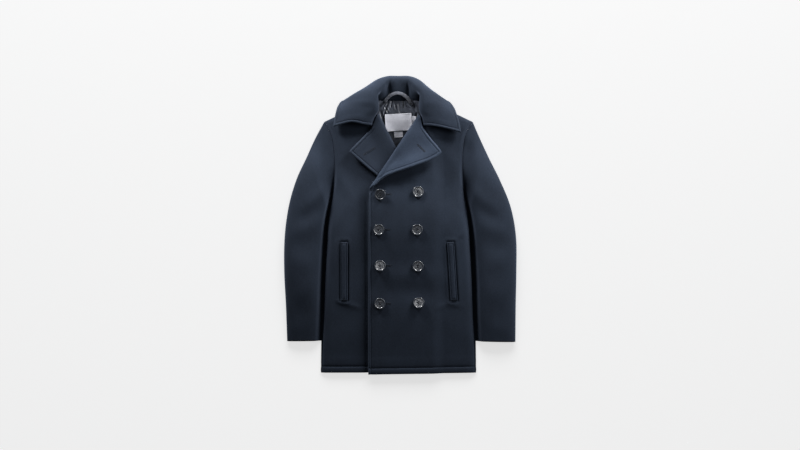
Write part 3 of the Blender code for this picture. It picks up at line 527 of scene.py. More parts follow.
class Finish:
    """A material whose patterns are built from nodes on the piece's own coordinates."""

    def __init__(self, name, **surface):
        self.material = bpy.data.materials.new(name)
        self.material.use_nodes = True
        self.nodes = self.material.node_tree.nodes
        self.links = self.material.node_tree.links
        self.shader = self.nodes["Principled BSDF"]
        for socket, value in surface.items():
            self.shader.inputs[socket.replace("_", " ")].default_value = value
        self.place = self.node("ShaderNodeTexCoord", {}, output="Object")

    def node(self, kind, settings, *inputs, output=0, **named):
        """A node with its settings and inputs, and one of its outputs as a Value."""
        made = self.nodes.new(kind)
        for key, value in settings.items():
            setattr(made, key, value)
        pairs = list(enumerate(inputs)) + [(k.replace("_", " "), v) for k, v in named.items()]
        for key, value in pairs:
            if isinstance(value, Value):
                self.links.new(value.socket, made.inputs[key])
            elif value is not None:
                made.inputs[key].default_value = value
        return Value(self, made.outputs[output])

    def noise(self, size_mm, detail=2, stretch=None, rough=0.5):
        """Noise whose lumps are this many millimetres across."""
        place = self.place
        if stretch:
            place = self.node("ShaderNodeMapping", {}, Vector=place, Scale=stretch)
        scale = 1 / (size_mm * MM)
        named = {"Vector": place, "Scale": scale, "Detail": detail, "Roughness": rough}
        return self.node("ShaderNodeTexNoise", {}, output="Fac", **named)

    def ribs(self, direction, scale, **named):
        settings = {"wave_type": "BANDS", "bands_direction": direction}
        named.update(Vector=self.place, Scale=scale)
        return self.node("ShaderNodeTexWave", settings, output="Fac", **named)

    def mix(self, share, low, high):
        """A colour between two. The node's own inputs for numbers and vectors stay empty."""
        colours = [value if isinstance(value, Value) else (*value, 1) for value in (low, high)]
        empty = [None] * 5
        return self.node("ShaderNodeMix", {"data_type": "RGBA"}, share, *empty, *colours, output=2)

    def bump(self, height, depth_mm, before=None):
        """A bump of this depth in millimetres."""
        named = {"Strength": 1.0, "Distance": depth_mm * MM, "Height": height, "Normal": before}
        return self.node("ShaderNodeBump", {}, output="Normal", **named)

    def finished(self, **sockets):
        """The material, with these patterns on its shader."""
        for socket, value in sockets.items():
            self.links.new(value.socket, self.shader.inputs[socket.replace("_", " ")])
        return self.material


MELTON_DARK = (0.0049, 0.0075, 0.0134)
MELTON_LIGHT = (0.0163, 0.0243, 0.0398)
MELTON_EDGE = (0.0195, 0.0282, 0.0450)
MELTON_SHEEN = {"Sheen_Weight": 0.20, "Sheen_Roughness": 0.45, "Sheen_Tint": (0.46, 0.58, 0.84, 1)}


def melton(name, lighter=1.0):
    """Brushed navy wool: a matted nap of short fibres with a soft bluish bloom."""
    m = Finish(name, Specular_IOR_Level=0.18, **MELTON_SHEEN)
    nap = m.noise(0.55, 3, rough=0.65)
    fibre = m.noise(0.9, 2, (1.0, 0.28, 1.0))
    tuft = m.noise(3.2, 3)
    brushed = m.noise(26, 2, (1.0, 0.5, 1.0))
    broad = m.noise(120, 1)
    tone = nap * 0.30 + fibre * 0.25 + tuft * 0.20 + brushed * 0.15 + broad * 0.25
    # lighter above 1 makes a lighter copy of the wool's colours: painted light
    dark, light, worn = (tuple(v * lighter for v in c) for c in (MELTON_DARK, MELTON_LIGHT, MELTON_EDGE))
    pressed = m.node("ShaderNodeAttribute", {"attribute_name": "pressed_edge"}, output="Fac")
    coarse = m.bump(brushed * 0.5 + tuft * 0.5, 0.35)
    return m.finished(
        Base_Color=m.mix(pressed * 0.5, m.mix(tone.over(0.34, 0.82), dark, light), worn),
        Roughness=0.98 - tuft * 0.12 - pressed * 0.10,
        Normal=m.bump(nap * 0.6 + fibre * 0.4, 0.30, coarse),
    )


def satin(name, dark, light, roughness):
    """Twilled satin with a fine diagonal rib."""
    m = Finish(name, Specular_IOR_Level=0.55, Sheen_Weight=0.25, Sheen_Roughness=0.3)
    rib = m.ribs("DIAGONAL", 320.0, Distortion=0.6, Detail=1.0)
    cloud = m.noise(9, 3)
    slub = m.noise(1.2, 2, (1.0, 0.2, 1.0))
    return m.finished(
        Base_Color=m.mix((cloud * 0.6 + slub * 0.4).over(0.3, 0.75), dark, light),
        Roughness=roughness + slub * 0.16 - cloud * 0.05,
        Normal=m.bump(rib * 0.5 + slub * 0.5, 0.10, m.bump(cloud, 0.5)),
    )


def woven_label():
    """White damask label cloth with a fine crossed weave."""
    m = Finish("woven_label", Specular_IOR_Level=0.4, Sheen_Weight=0.2)
    weave = m.ribs("X", 520.0) * 0.5 + m.ribs("Y", 420.0) * 0.5
    cloud = m.noise(12)
    return m.finished(
        Base_Color=m.mix(weave * 0.4 + cloud * 0.6, (0.66, 0.67, 0.76), (0.90, 0.91, 0.98)),
        Roughness=0.55 + weave * 0.2,
        Normal=m.bump(weave, 0.12, m.bump(cloud, 0.4)),
    )


def button_plastic():
    """Moulded black plastic with a dull polish and faint swirls."""
    m = Finish("button_plastic", Specular_IOR_Level=0.65, Coat_Roughness=0.18)
    swirl = m.noise(4, 3, (1.0, 0.4, 1.0))
    scuff = m.noise(0.7, 3)
    return m.finished(
        Base_Color=m.mix(swirl.over(0.3, 0.75), (0.008, 0.011, 0.017), (0.026, 0.032, 0.044)),
        Roughness=0.20 + scuff * 0.22,
        Coat_Weight=0.25 + swirl * 0.3,
        Normal=m.bump(scuff, 0.04, m.bump(swirl, 0.10)),
    )


def thread(name, dark, light):
    """Twisted sewing thread."""
    m = Finish(name, Specular_IOR_Level=0.25)
    ply = m.noise(0.5)
    colour = m.mix(ply, dark, light)
    return m.finished(Base_Color=colour, Roughness=0.55 + ply * 0.2, Normal=m.bump(ply, 0.08))


def floor_paint():
    glow = {"Emission_Color": (1, 1, 1, 1), "Emission_Strength": FLOOR_GLOW}
    m = Finish("floor_paint", Specular_IOR_Level=0.0, **glow)
    fleck = m.noise(40)
    colour = m.mix(fleck, (0.86, 0.865, 0.87), (0.875, 0.88, 0.885))
    return m.finished(Base_Color=colour, Roughness=0.92 + fleck * 0.06)


MELTON = melton("melton")
# A 1.5 times lighter copy of the wool for the upper lapel's facing: painted light where that lapel faces the
# lamps.
PAINTED_LIGHT_FACING_MELTON = melton("painted_light_facing_melton", 1.5)
LINING_SATIN = satin("lining_satin", (0.018, 0.022, 0.032), (0.085, 0.096, 0.125), 0.30)
LOOP_SATIN = satin("loop_satin", (0.060, 0.066, 0.082), (0.150, 0.160, 0.190), 0.28)
LABEL_CLOTH = woven_label()
BUTTON_PLASTIC = button_plastic()
NAVY_THREAD = thread("navy_thread", (0.0030, 0.0052, 0.0100), (0.0100, 0.0165, 0.0290))
LABEL_THREAD = thread("label_thread", (0.45, 0.46, 0.52), (0.62, 0.63, 0.70))
BUTTON_THREAD = thread("button_thread", (0.004, 0.005, 0.008), (0.014, 0.016, 0.022))

# ---------------------------------------------------------------- fronts and facings

EDGE_STRIP = (16.0, 2.5)  # width of the plain strip at the front edge, at the hem and at the low end
EDGE_STRIP_NARROWS = 0.9  # share of the way up at which it starts to narrow
ROLL_STEPS = 10
ROLL_FULL_WIDTH = 24.0
FRONT_TOP_POWERS = (20.0, 400.0)  # how soon the rows take the slope of the shoulder, and the neckline
BACK_TOP_POWER = 3
GORGE_POWER = 2.5
EDGE_MARKS = (14.0, 12.0, 10.5, 9.4, 8.6, 7.9, 7.3, 6.6, 5.8, 4.6, 3.2, 2.0, 1.2, 0.5, 0.0)
EDGE_MARKS_ROOM = 1.15
LAPEL_COLUMNS = 14
SIDE_LENGTH = SHOULDER[1] - HEM_RISE
LOW_END_ROW = (UNDERARM_Y - HEM_RISE) / SIDE_LENGTH
BODY_MARKS = marks((3, 0.6), (9, 1.5), (44, 4.4), (84, 1.5), (262, 4.6), (281, 1.7))
BODY_SHARES = BODY_MARKS / BODY_MARKS[-1]
EDGE_YS = marks(
    (3, 0.6), (15, 2.4), (21, 0.8), (196, 4.2), (222, 1.7), (360, 4.2), (384, 1.7), (490, 4.0),
    (507, 1.5),
)
LAPEL_MARKS = marks((24, 1.5), (250, 3.8), (264, 1.6))
ROWS = np.concatenate([
    LOW_END_ROW * EDGE_YS / EDGE_YS[-1],
    (LOW_END_ROW + (1 - LOW_END_ROW) * LAPEL_MARKS / LAPEL_MARKS[-1])[1:],
])
SIDE_YS = HEM_RISE + ROWS * SIDE_LENGTH
ARMHOLE_TURNS = 40.0  # how far above the underarm point the armhole's own lie is full
SHOULDER_TURNS = 30.0
LEVEL_TO = 100.0
SEAM_TURNS = 9.0  # over what width a panel's directions turn towards its seam
ARMHOLE_SEAM = (0.15, 0.85)  # how much of a side seam's relief the armhole has at first, and the rest
WELT_BED = {"depth": 1.5, "slope": 2.4, "swell": 0.7, "between": (2.5, 13)}


def break_frame(side):
    """The break line's low end, its direction, and the direction across it to the armhole."""
    low, high = np.array(LAPELS[side][0]), np.array(LAPELS[side][1])
    along = (high - low) / math.dist(high, low)
    return low, along, np.array((along[1], -along[0]))


def unfold(side, point):
    """Where a point of the turned-back lapel lies when the front is opened out flat."""
    low, along, across = break_frame(side)
    rel = np.subtract(point, low)
    return low + along * (rel @ along) - across * (rel @ across + math.pi * ROLL)


def turned(side, plan, body=0):
    """Turns the lapel of an opened-out front, past the break line, back over the chest. The first
    columns, as many as body says, never turn."""
    low, along, across = break_frame(side)
    rel = plan - low
    distance = -(rel @ across)
    past = (distance > 0) & (np.arange(plan.shape[1]) >= body)
    angle = np.where(past, np.clip(distance / ROLL, 0, math.pi), 0)
    flat = np.where(past, np.maximum(distance - math.pi * ROLL, 0), 0)
    reach = np.where(past, flat - ROLL * np.sin(angle), -distance)
    folded = low + (rel @ along)[..., None] * along + reach[..., None] * across
    settled = smoothstep(flat, 0, LAPEL_SETTLES_OVER)
    lift = ROLL * (1 - np.cos(angle)) + (LAPEL_SETTLED - 2 * ROLL) * settled
    lift = lift + LAPEL_TIP_LIFT[side] * smoothstep(flat, *LAPEL_LIFTS_OVER[side])
    near_edge = distance_to(plan, front_edge(side)[1:-1:4]) / LAPEL_CURLS_OVER
    lift = lift + LAPEL_CURL[side] * np.exp(-near_edge**2) * smoothstep(flat, *LAPEL_CURL_STARTS)
    return at_height(folded, front_z(side, folded[..., 0], folded[..., 1], np.where(past, lift, 0)))


def edge_above(side, up_lapel):
    """The opened-out lapel's edge, at these shares of the way from its low end to its tip."""
    low, along, across = break_frame(side)
    rel = unfold(side, LAPELS[side][2]) - low
    grown = curve(LAPEL_GROWS[side], up_lapel)[..., None] * (rel @ across)
    return low + up_lapel[..., None] * (rel @ along) * along + grown * across


def front_edge(side):
    """The opened-out front's edge: hem corner, low end of the break, lapel edge, tip and notch."""
    hem = np.array([(FRONT_EDGE_X, FRONT_HEM_Y[side])])
    lapel = edge_above(side, np.linspace(0, 1, 41))
    return np.concatenate([hem, lapel, [unfold(side, LAPELS[side][3])]])


def neck_share(high):
    """Where the neck point lies between the shoulder point and the break line's high end."""
    to_neck = math.dist(SHOULDER, NECK)
    return to_neck / (to_neck + math.dist(NECK, high))


def front_plan(side):
    """The opened-out front as a plan grid, from the side seam and armhole to the front edge."""
    outline = front_edge(side)
    hem, tip, notch = outline[0], outline[-2], outline[-1]
    high = np.array(LAPELS[side][1])
    low, _along, across = break_frame(side)
    up_edge = np.clip(ROWS / LOW_END_ROW, 0, 1)[:, None]
    up_lapel = np.clip((ROWS - LOW_END_ROW) / (1 - LOW_END_ROW), 0, 1)[:, None]
    edge = hem + up_edge * (low - hem) + edge_above(side, up_lapel[:, 0]) - low
    narrows = smoothstep(up_edge, EDGE_STRIP_NARROWS, 1)
    strip = EDGE_STRIP[0] + narrows * (EDGE_STRIP[1] - EDGE_STRIP[0])
    below = ROWS[:, None] < LOW_END_ROW + 1e-6
    turn = np.where(below, edge + strip * (1, 0), low + up_lapel * (high - low))

    armhole = np.stack([half_width(SIDE_YS), SIDE_YS], axis=-1)
    bottom = armhole[0] + BODY_SHARES[:, None] * (turn[0] - armhole[0])
    top = along_lines([armhole[-1], NECK, turn[-1]], BODY_SHARES)
    at_neck = smoothstep(BODY_SHARES, neck_share(high), 1)[None, :, None] ** 2
    power = FRONT_TOP_POWERS[0] + (FRONT_TOP_POWERS[1] - FRONT_TOP_POWERS[0]) * at_neck
    body = coons(armhole, turn, bottom, top, BODY_SHARES, ROWS, power)

    width = np.maximum(-((edge - turn) @ across), 1e-6)[:, None]
    roll_share = np.arange(1, ROLL_STEPS + 1) / ROLL_STEPS
    roll = math.pi * ROLL * roll_share * np.minimum(1, width / ROLL_FULL_WIDTH)
    room = (width - roll[:, -1:]) / (EDGE_MARKS[0] * EDGE_MARKS_ROOM)
    marks_in = np.array(EDGE_MARKS) * np.minimum(1, room)
    share = np.arange(1, LAPEL_COLUMNS) / LAPEL_COLUMNS
    middle = roll[:, -1:] + (width - marks_in[:, :1] - roll[:, -1:]) * share
    distance = np.concatenate([roll, middle, width - marks_in], axis=1)
    lapel = turn[:, None] + (distance / width)[..., None] * (edge - turn)[:, None]
    stops = [0, -((notch - turn[-1]) @ across), width[-1, 0]]
    gorge = [np.interp(distance[-1], stops, (turn[-1, k], notch[k], tip[k])) for k in (0, 1)]
    gorge = np.stack(gorge, axis=-1)
    lapel = lapel + up_lapel[..., None] ** GORGE_POWER * (gorge - lapel[-1])[None]
    inside = unit(unit(edge[-4] - tip) + unit(notch - tip))
    from_tip = np.linalg.norm(lapel - tip, axis=-1, keepdims=True) / LAPEL_TIP_ROUND["reach"]
    lapel = lapel + LAPEL_TIP_ROUND["inward"] * np.exp(-from_tip) * inside
    return np.concatenate([body, lapel], axis=1)


def meet_at_seams(outer, inward, up):
    """Turns a panel's directions through its cloth near its seams, so that neighbours meet face
    to face: level at the side and shoulder, upright round the armhole."""
    ys = outer[:, :1, 1:2]
    upright = smoothstep(ys, UNDERARM_Y, UNDERARM_Y + ARMHOLE_TURNS)
    upright = upright * (1 - smoothstep(ys, SHOULDER[1] - SHOULDER_TURNS, SHOULDER[1]))
    below_seam = np.array((SHOULDER_RUN[1], -SHOULDER_RUN[0], 0))
    level = np.where(ys > UNDERARM_Y + LEVEL_TO, below_seam, (-1.0, 0, 0))
    at_side = unit((1 - upright) * level + upright * np.array((0, 0, up)))
    share = smoothstep(run_lengths(outer, 1)[..., None], 0, SEAM_TURNS)
    inward = unit(share * inward + (1 - share) * at_side)
    share = smoothstep(below_shoulder(outer[..., 0], outer[..., 1]), 0, SEAM_TURNS)[..., None]
    share = np.where(outer[..., :1] > NECK[0] - 1, share, 1)
    return unit(share * inward + (1 - share) * below_seam)


def front_relief(side, plan, edge):
    """Relief of the front's outer face: its stitched edge, hem, seams and pocket."""
    x, y = plan[..., 0], plan[..., 1]
    relief = sewn_down(edge, **TOPSTITCHED) + sewn_down(distance_to(plan, plan[0, ::12]), **HEMMED)
    above = smoothstep(y, UNDERARM_Y, UNDERARM_Y + ARMHOLE_TURNS)
    at_armhole = ARMHOLE_SEAM[0] + ARMHOLE_SEAM[1] * above
    relief = relief + seamed(distance_to(plan, plan[::4, 0])) * at_armhole
    relief = relief + seamed(distance_to(plan, np.array([SHOULDER, NECK])))
    (top_x, top_y), (bottom_x, bottom_y) = WELTS[side]
    t = np.clip((y - bottom_y) / (top_y - bottom_y), 0, 1)
    across = np.abs(x - bottom_x - t * (top_x - bottom_x)) - WELT_WIDTH / 2
    past = np.maximum(bottom_y - y, y - top_y)
    from_welt = np.hypot(np.maximum(across, 0), np.maximum(past, 0))
    relief = relief - WELT_BED["depth"] * groove(from_welt, 0, WELT_BED["slope"])
    relief = relief + WELT_BED["swell"] * band(from_welt, *WELT_BED["between"])
    if side == "right":
        low_y = LAPELS["left"][0][1]
        below_break = 1 - smoothstep(y, low_y - UNDER_EDGE["fades"], low_y)
        dip = UNDER_EDGE["depth"] * groove(x, -FRONT_EDGE_X + UNDER_EDGE["past"], UNDER_EDGE["width"])
        relief = relief - dip * below_break
    return relief


def make_fronts():
    """Both fronts with their lapels turned back, and the facings that show on the lapels."""
    for side in SIDES:
        plan = front_plan(side)
        outer = turned(side, plan, len(BODY_SHARES))
        inward = meet_at_seams(outer, -normals(outer, (60, 60), (0, 0, 1)), -1)
        edge = distance_to(plan, front_edge(side))
        pressed = groove(edge, *PRESSED)
        near = outer - inward * front_relief(side, plan, edge)[..., None]
        far = outer + inward * (CLOTH + turned_down(edge, UNDERSIDE_ROUND))[..., None]
        at_neck = neck_share(LAPELS[side][1])
        first_column = int(np.argmax(BODY_SHARES >= at_neck + FACING_FROM * (1 - at_neck)))
        part = np.s_[int(np.argmax(SIDE_YS >= FACING_START[side])):, first_column:]
        inner = (outer + inward * (CLOTH + SEAM))[part]
        shown = (outer + inward * (LAPEL_LAYERS + sewn_down(edge, **TOPSTITCHED))[..., None])[part]
        front = cloth(f"{side}_front", *on_side(side, near, far), MELTON, pressed)
        # The upper lapel's facing, on the wearer's left, takes the lighter copy of the wool as painted
        # light.
        finish = PAINTED_LIGHT_FACING_MELTON if side == "left" else MELTON
        facing = cloth(f"{side}_facing", *on_side(side, inner, shown), finish, pressed[part])
        piece(front, f"front_{side}")
        piece(facing, f"facing_{side}")


# ---------------------------------------------------------------- back

BACK_MARKS = marks((3, 0.6), (9, 1.5), (200, 5), (219, 3))
BACK_SHARES = BACK_MARKS / BACK_MARKS[-1]
BACK_ROWS = marks((3, 0.6), (15, 2.4), (21, 0.8), (690, 5.0), (706, 2.0)) / 706.0


def make_backs():
    """The two halves of the back, either side of the centre back seam."""
    side_ys = HEM_RISE + BACK_ROWS * SIDE_LENGTH
    seam = np.stack([half_width(side_ys), side_ys], axis=-1)
    centre_y = HEM_RISE + BACK_ROWS * (BACK_NECK_Y - HEM_RISE)
    centre = np.stack([np.full(len(BACK_ROWS), SEAM / 2), centre_y], axis=-1)
    bottom = seam[0] + BACK_SHARES[:, None] * (centre[0] - seam[0])
    top = along_lines([seam[-1], NECK, centre[-1]], BACK_SHARES)
    plan = coons(seam, centre, bottom, top, BACK_SHARES, BACK_ROWS, BACK_TOP_POWER)
    outer = at_height(plan, back_z(plan[..., 0], plan[..., 1]))
    inward = meet_at_seams(outer, -normals(outer, (60, 40), (0, 0, -1)), 1)
    relief = turned_down(distance_to(plan, plan[0, ::8]), EDGE_ROUND)
    relief = relief + turned_down(distance_to(plan, plan[::40, -1]), SEAM_ROUND)
    grids = (outer - inward * relief[..., None], outer + inward * CLOTH)
    for side in SIDES:
        panel = cloth(f"{side}_back", *on_side(side, *grids), MELTON, np.zeros(relief.shape))
        piece(panel, f"back_{side}")


# ---------------------------------------------------------------- sleeves

SLEEVE_ROWS = marks((0.02, 0.003), (0.3, 0.007), (0.97, 0.0085), (1.0, 0.003))
SLEEVE_COLUMNS = 65
SLEEVE_RISES = 0.2  # share of the way down at which a sleeve has its own thickness
SLEEVE_CREASED = (0.15, 0.85)  # height in the inner fold's crease, and what is added out of it
SLEEVE_FOLDS_FROM = (0.02, 0.12)
SLEEVE_LEVEL = 0.06  # share of the width over which its directions turn level at a fold
SLEEVE_HEAD_LEVEL = 0.55


def sleeve_plan(side, u, armhole_y):
    """A sleeve's plan grid from the outer fold to the inner one, and its thickness by rows."""
    table = {0.0: (SHOULDER[0] + SEAM, SHOULDER[1], UNDERARM_Y, SLEEVE_HEAD_HEIGHT)}
    table.update(SLEEVES[side])
    rows = curve(table, SLEEVE_ROWS)
    outer_fold = rows[:, None, :2]
    inner_y = rows[:, 2]
    inner_fold = np.stack([half_width(inner_y) + SLEEVE_CLEARANCE, inner_y], axis=-1)[:, None]
    armhole = np.stack([half_width(armhole_y) + SLEEVE_CLEARANCE, armhole_y], axis=-1)
    straight = armhole[0] + (armhole[-1] - armhole[0]) * u[:, None]
    near = ((1 - np.clip(SLEEVE_ROWS / SLEEVE_HEAD_SHARE, 0, 1)) ** 2)[:, None, None]
    plan = outer_fold + (inner_fold - outer_fold) * u[None, :, None]
    return plan + near * (armhole - straight)[None], rows[:, 3][:, None]


def make_sleeves():
    """Top sleeve and undersleeve on each side, which meet along the sleeve's two folds."""
    t = np.linspace(0, 1, SLEEVE_COLUMNS)
    u = (1 - np.cos(math.pi * t)) / 2
    armhole_y = np.interp(t, np.linspace(0, 1, len(ARMHOLE_MARKS)), ARMHOLE_MARKS[::-1])
    span = np.abs(2 * u - 1)[None]
    share = smoothstep(SLEEVE_ROWS, 0, SLEEVE_RISES)[:, None]
    for side in SIDES:
        plan, height = sleeve_plan(side, u, armhole_y)
        fold_z = height * np.interp(u, SLEEVE_FOLD_AT, SLEEVE_FOLD_SHARE)[None]
        dome = (1 - span**SLEEVE_TOP_ROUND) ** (1 / SLEEVE_TOP_ROUND)
        bowl = 1 - (1 - span**SLEEVE_UNDER_ROUND) ** (1 / SLEEVE_UNDER_ROUND)
        risen = smoothstep(run_lengths(plan[:, ::-1], 1)[:, ::-1], 0, SLEEVE_CREASE)
        dome = dome * (SLEEVE_CREASED[0] + SLEEVE_CREASED[1] * risen)
        top_z = share * (fold_z + (height - fold_z) * dome)
        top_z = top_z + (1 - share) * curve(FRONT_ARMHOLE_HEIGHT, armhole_y)[None]
        under_z = share * fold_z * bowl + (1 - share) * curve(BACK_ARMHOLE_HEIGHT, armhole_y)[None]
        level = at_height(unit(plan.mean(axis=1, keepdims=True) - plan), np.zeros(plan.shape[:2]))
        crown = (1 - span**4) * smoothstep(SLEEVE_ROWS, *SLEEVE_FOLDS_FROM)[:, None]
        top_z = top_z + SEAM / 2 + crown * folds(plan[..., 0], plan[..., 1], SLEEVE_FOLDS)
        relief = seamed(distance_to(plan, plan[0, ::3]))
        relief = relief + turned_down(distance_to(plan, plan[-1, ::4]), EDGE_ROUND)
        shells = (("top", top_z, 1, relief), ("under", under_z - SEAM / 2 * span**6, -1, relief * 0))
        for name, z, up, relief in shells:
            outer = at_height(plan, np.maximum(z, 0))
            inward = -normals(outer, (70, SLEEVE_COLUMNS // 2), (0, 0, up))
            blend = smoothstep(np.minimum(t, 1 - t), 0, SLEEVE_LEVEL)[None, :, None]
            inward = unit(blend * inward + (1 - blend) * level)
            ends = smoothstep(span, SLEEVE_HEAD_LEVEL, 1.0)[..., None]
            at_head = unit((1 - ends) * np.array((0, 0, -up)) + ends * level)
            head = smoothstep(SLEEVE_ROWS, 0, SLEEVE_FOLDS_FROM[0])[:, None, None]
            inward = unit(head * inward + (1 - head) * at_head)
            grids = on_side(side, outer - inward * relief[..., None], outer + inward * CLOTH)
            shell = cloth(f"{side}_sleeve_{name}", *grids, MELTON, np.zeros(relief.shape))
            piece(shell, f"sleeve_{name}_{side}")


# ---------------------------------------------------------------- collar

COLLAR_POINTS = 81
COLLAR_STATIONS = ((0.02, 0.0016), (0.98, 0.0051), (1.0, 0.0016))
STAND_FOLDS = (  # station share, share across, widths of both, height
    (0.415, 0.13, 0.020, 0.09, -4.5), (0.585, 0.14, 0.026, 0.09, -6.0), (0.5, 0.10, 0.03, 0.10, 1.5),
    (0.62, 0.20, 0.02, 0.10, -1.5), (0.38, 0.20, 0.02, 0.10, -1.5), (0.2, 0.62, 0.06, 0.12, 1.0),
    (0.8, 0.62, 0.06, 0.12, 1.0), (0.46, 0.24, 0.02, 0.07, 1.6), (0.545, 0.22, 0.018, 0.07, 1.8),
)
UNDERCOLLAR_ROUND = 1.2
COLLAR_SEAM_SHARE = 0.5  # how much of an edge's rounding the neck seam has


def collar_middle():
    """The surface between upper collar and undercollar, from the left notch to the right one."""
    left = np.array(list(COLLAR.values()), float)
    right = np.array([COLLAR_RIGHT.get(name, row) for name, row in COLLAR.items()], float)
    sections = np.concatenate([left, on_side("right", right)[0][-2::-1]])
    places = np.linspace(0, 1, len(sections))
    across = (1 - np.cos(math.pi * np.linspace(0, 1, COLLAR_POINTS))) / 2
    drawn = np.stack([curve(dict(zip(COLLAR_ACROSS, section)), across) for section in sections])
    around = marks(*COLLAR_STATIONS)
    lines = [curve(dict(zip(places, drawn[:, k])), around) for k in range(COLLAR_POINTS)]
    grid = np.stack(lines, axis=1)
    grid[..., 2] = np.maximum(grid[..., 2], CLOTH + SEAM / 2)
    return grid, around, across


def make_collar():
    """The upper collar, which shows, and the undercollar on its inner side."""
    middle, around, across = collar_middle()
    outward = normals(middle, (4, -4), (0, 0, 1))
    for at, up, wide, high, rise in STAND_FOLDS:
        spot = ((around[:, None] - at) / wide) ** 2 + ((across[None] - up) / high) ** 2
        middle = middle + outward * (rise * np.exp(-spot))[..., None]
    outward = normals(middle, (4, -4), (0, 0, 1))
    up_leaf, along = run_lengths(middle, 1), run_lengths(middle, 0)
    from_edge = up_leaf[:, -1:] - up_leaf
    edge = np.minimum(from_edge, np.minimum(along, along[-1:] - along))
    relief = sewn_down(edge, **TOPSTITCHED) + COLLAR_SEAM_SHARE * turned_down(up_leaf, EDGE_ROUND)
    leaves = (
        ("upper_collar", "collar_upper", 1, relief),
        ("undercollar", "collar_under", -1, turned_down(edge, UNDERCOLLAR_ROUND)),
    )
    faces = []
    for name, node, way, relief in leaves:
        near = middle + outward * way * SEAM / 2
        far = middle + outward * way * (SEAM / 2 + CLOTH + relief)[..., None]
        far[..., 2] = np.maximum(far[..., 2], 0.0)
        faces.append(far)
        leaf = cloth(name, near, far, MELTON, groove(edge, *PRESSED))
        piece(leaf, node)
    stitch_collar(faces[0], from_edge, along)


# ---------------------------------------------------------------- pieces that lie on the panels

WELT_THICK = 2.6
WELT_SUNK = 1.2
WELT_HALF_MIDDLE = 5.5  # the raised middle of a welt, between its two grooves
WELT_MIDDLE_RISES = (-2.5, 0.5)  # from and to how far past its half width the middle rises
WELT_GROOVE = WELT_HALF_MIDDLE + 1.0
WELT_RELIEF = {"edge": 1.4, "middle": 1.3, "ends": (1, 9), "groove": 1.2, "groove_width": 0.9}
WELT_PRESSED = (1.5, 2.0)
WELT_SHINE = 0.6


def strip_along(line, across):
    """The plan grid of a strip along a plan curve; across are distances from its middle."""
    run = unit(np.gradient(line, axis=0))
    side = np.stack([-run[:, 1], run[:, 0]], axis=-1)
    return line[:, None] + side[:, None] * across[None, :, None]


def both_ways(half):
    """Positions from -half to half, closer together at both ends."""
    one = half - marks((1.6, 0.4), (3.0, 0.7), (half, 1.2))
    return np.concatenate([-one[:-1], one[::-1]])


def make_welts():
    """The welts of the two slanted pockets, sunk a little into the fronts round them."""
    for side in SIDES:
        top, bottom = WELTS[side]
        length = math.dist(top, bottom)
        steps = marks((1.6, 0.4), (5, 0.8), (length - 5, 2.2), (length - 1.6, 0.8), (length, 0.4))
        line = np.stack([np.interp(steps, (0, length), (top[k], bottom[k])) for k in (0, 1)], axis=-1)
        across = both_ways(WELT_WIDTH / 2)
        plan = strip_along(line, across)
        across = np.abs(across)[None]
        from_end = np.minimum(steps, length - steps)[:, None]
        edge = np.minimum(WELT_WIDTH / 2 - across, from_end)
        middle = 1 - smoothstep(across, *(WELT_HALF_MIDDLE + k for k in WELT_MIDDLE_RISES))
        middle = WELT_RELIEF["middle"] * middle * smoothstep(from_end, *WELT_RELIEF["ends"])
        pressed_in = WELT_RELIEF["groove"] * groove(across, WELT_GROOVE, WELT_RELIEF["groove_width"])
        relief = turned_down(edge, WELT_RELIEF["edge"]) + middle - pressed_in
        base = front_z(side, plan[..., 0], plan[..., 1]) + ON_TOP
        outer, under = at_height(plan, base + WELT_THICK + relief), at_height(plan, base - WELT_SUNK)
        pressed = groove(edge, *WELT_PRESSED) * WELT_SHINE
        welt = cloth(f"{side}_welt", *on_side(side, outer, under), MELTON, pressed)
        piece(welt, f"welt_{side}")


# Pleats of the lining under the loop: valley from (x, y) to (x, y), its half width and depth.
PLEATS = (
    ((0.8, 762), (3.6, 736), 2.0, 2.2), ((-27.7, 772.8), (-46, 748), 1.8, 2.4),
    ((-27.7, 772.8), (-43.4, 719.6), 2.2, 2.4), ((-39, 754), (-29, 735.6), 1.8, 1.8),
    ((-27.7, 762.4), (-43.4, 745.4), 1.8, 2.0), ((25, 772.8), (49, 739.8), 2.2, 2.4),
    ((21, 754), (35, 745.4), 1.8, 1.8), ((40.6, 768), (49, 745), 2.0, 2.2),
    ((-9.2, 759.6), (-7.8, 745), 1.8, 1.8), ((-50.7, 739.8), (-40.6, 703.9), 2.4, 2.4),
    ((14, 770), (17, 748), 1.8, 1.6), ((52, 735), (44, 700), 2.4, 2.2), ((-18, 771), (-22, 750), 1.8, 1.8),
    ((60, 720), (46, 684), 2.4, 1.8), ((-58, 722), (-44, 680), 2.4, 1.8), ((34, 730), (40, 712), 1.6, 1.2),
)
PLEAT_SWELL = 1.5  # height of the cloth between the pleats
PLEAT_DEEPER = 1.2
PLEAT_LIP = (0.8, 2.1)  # height beside a valley, and how many of its half widths away
PLEAT_STARTS, PLEAT_ENDS = (-0.15, 0.35), (0.65, 1.15)
PLEATS_FROM_Y = (600, 660)
LINING_WAVES = (0.35, 0.3)  # heights of the two long waves in it
LINING_LEAST = 0.05
LINING_GRID = (201, 181)


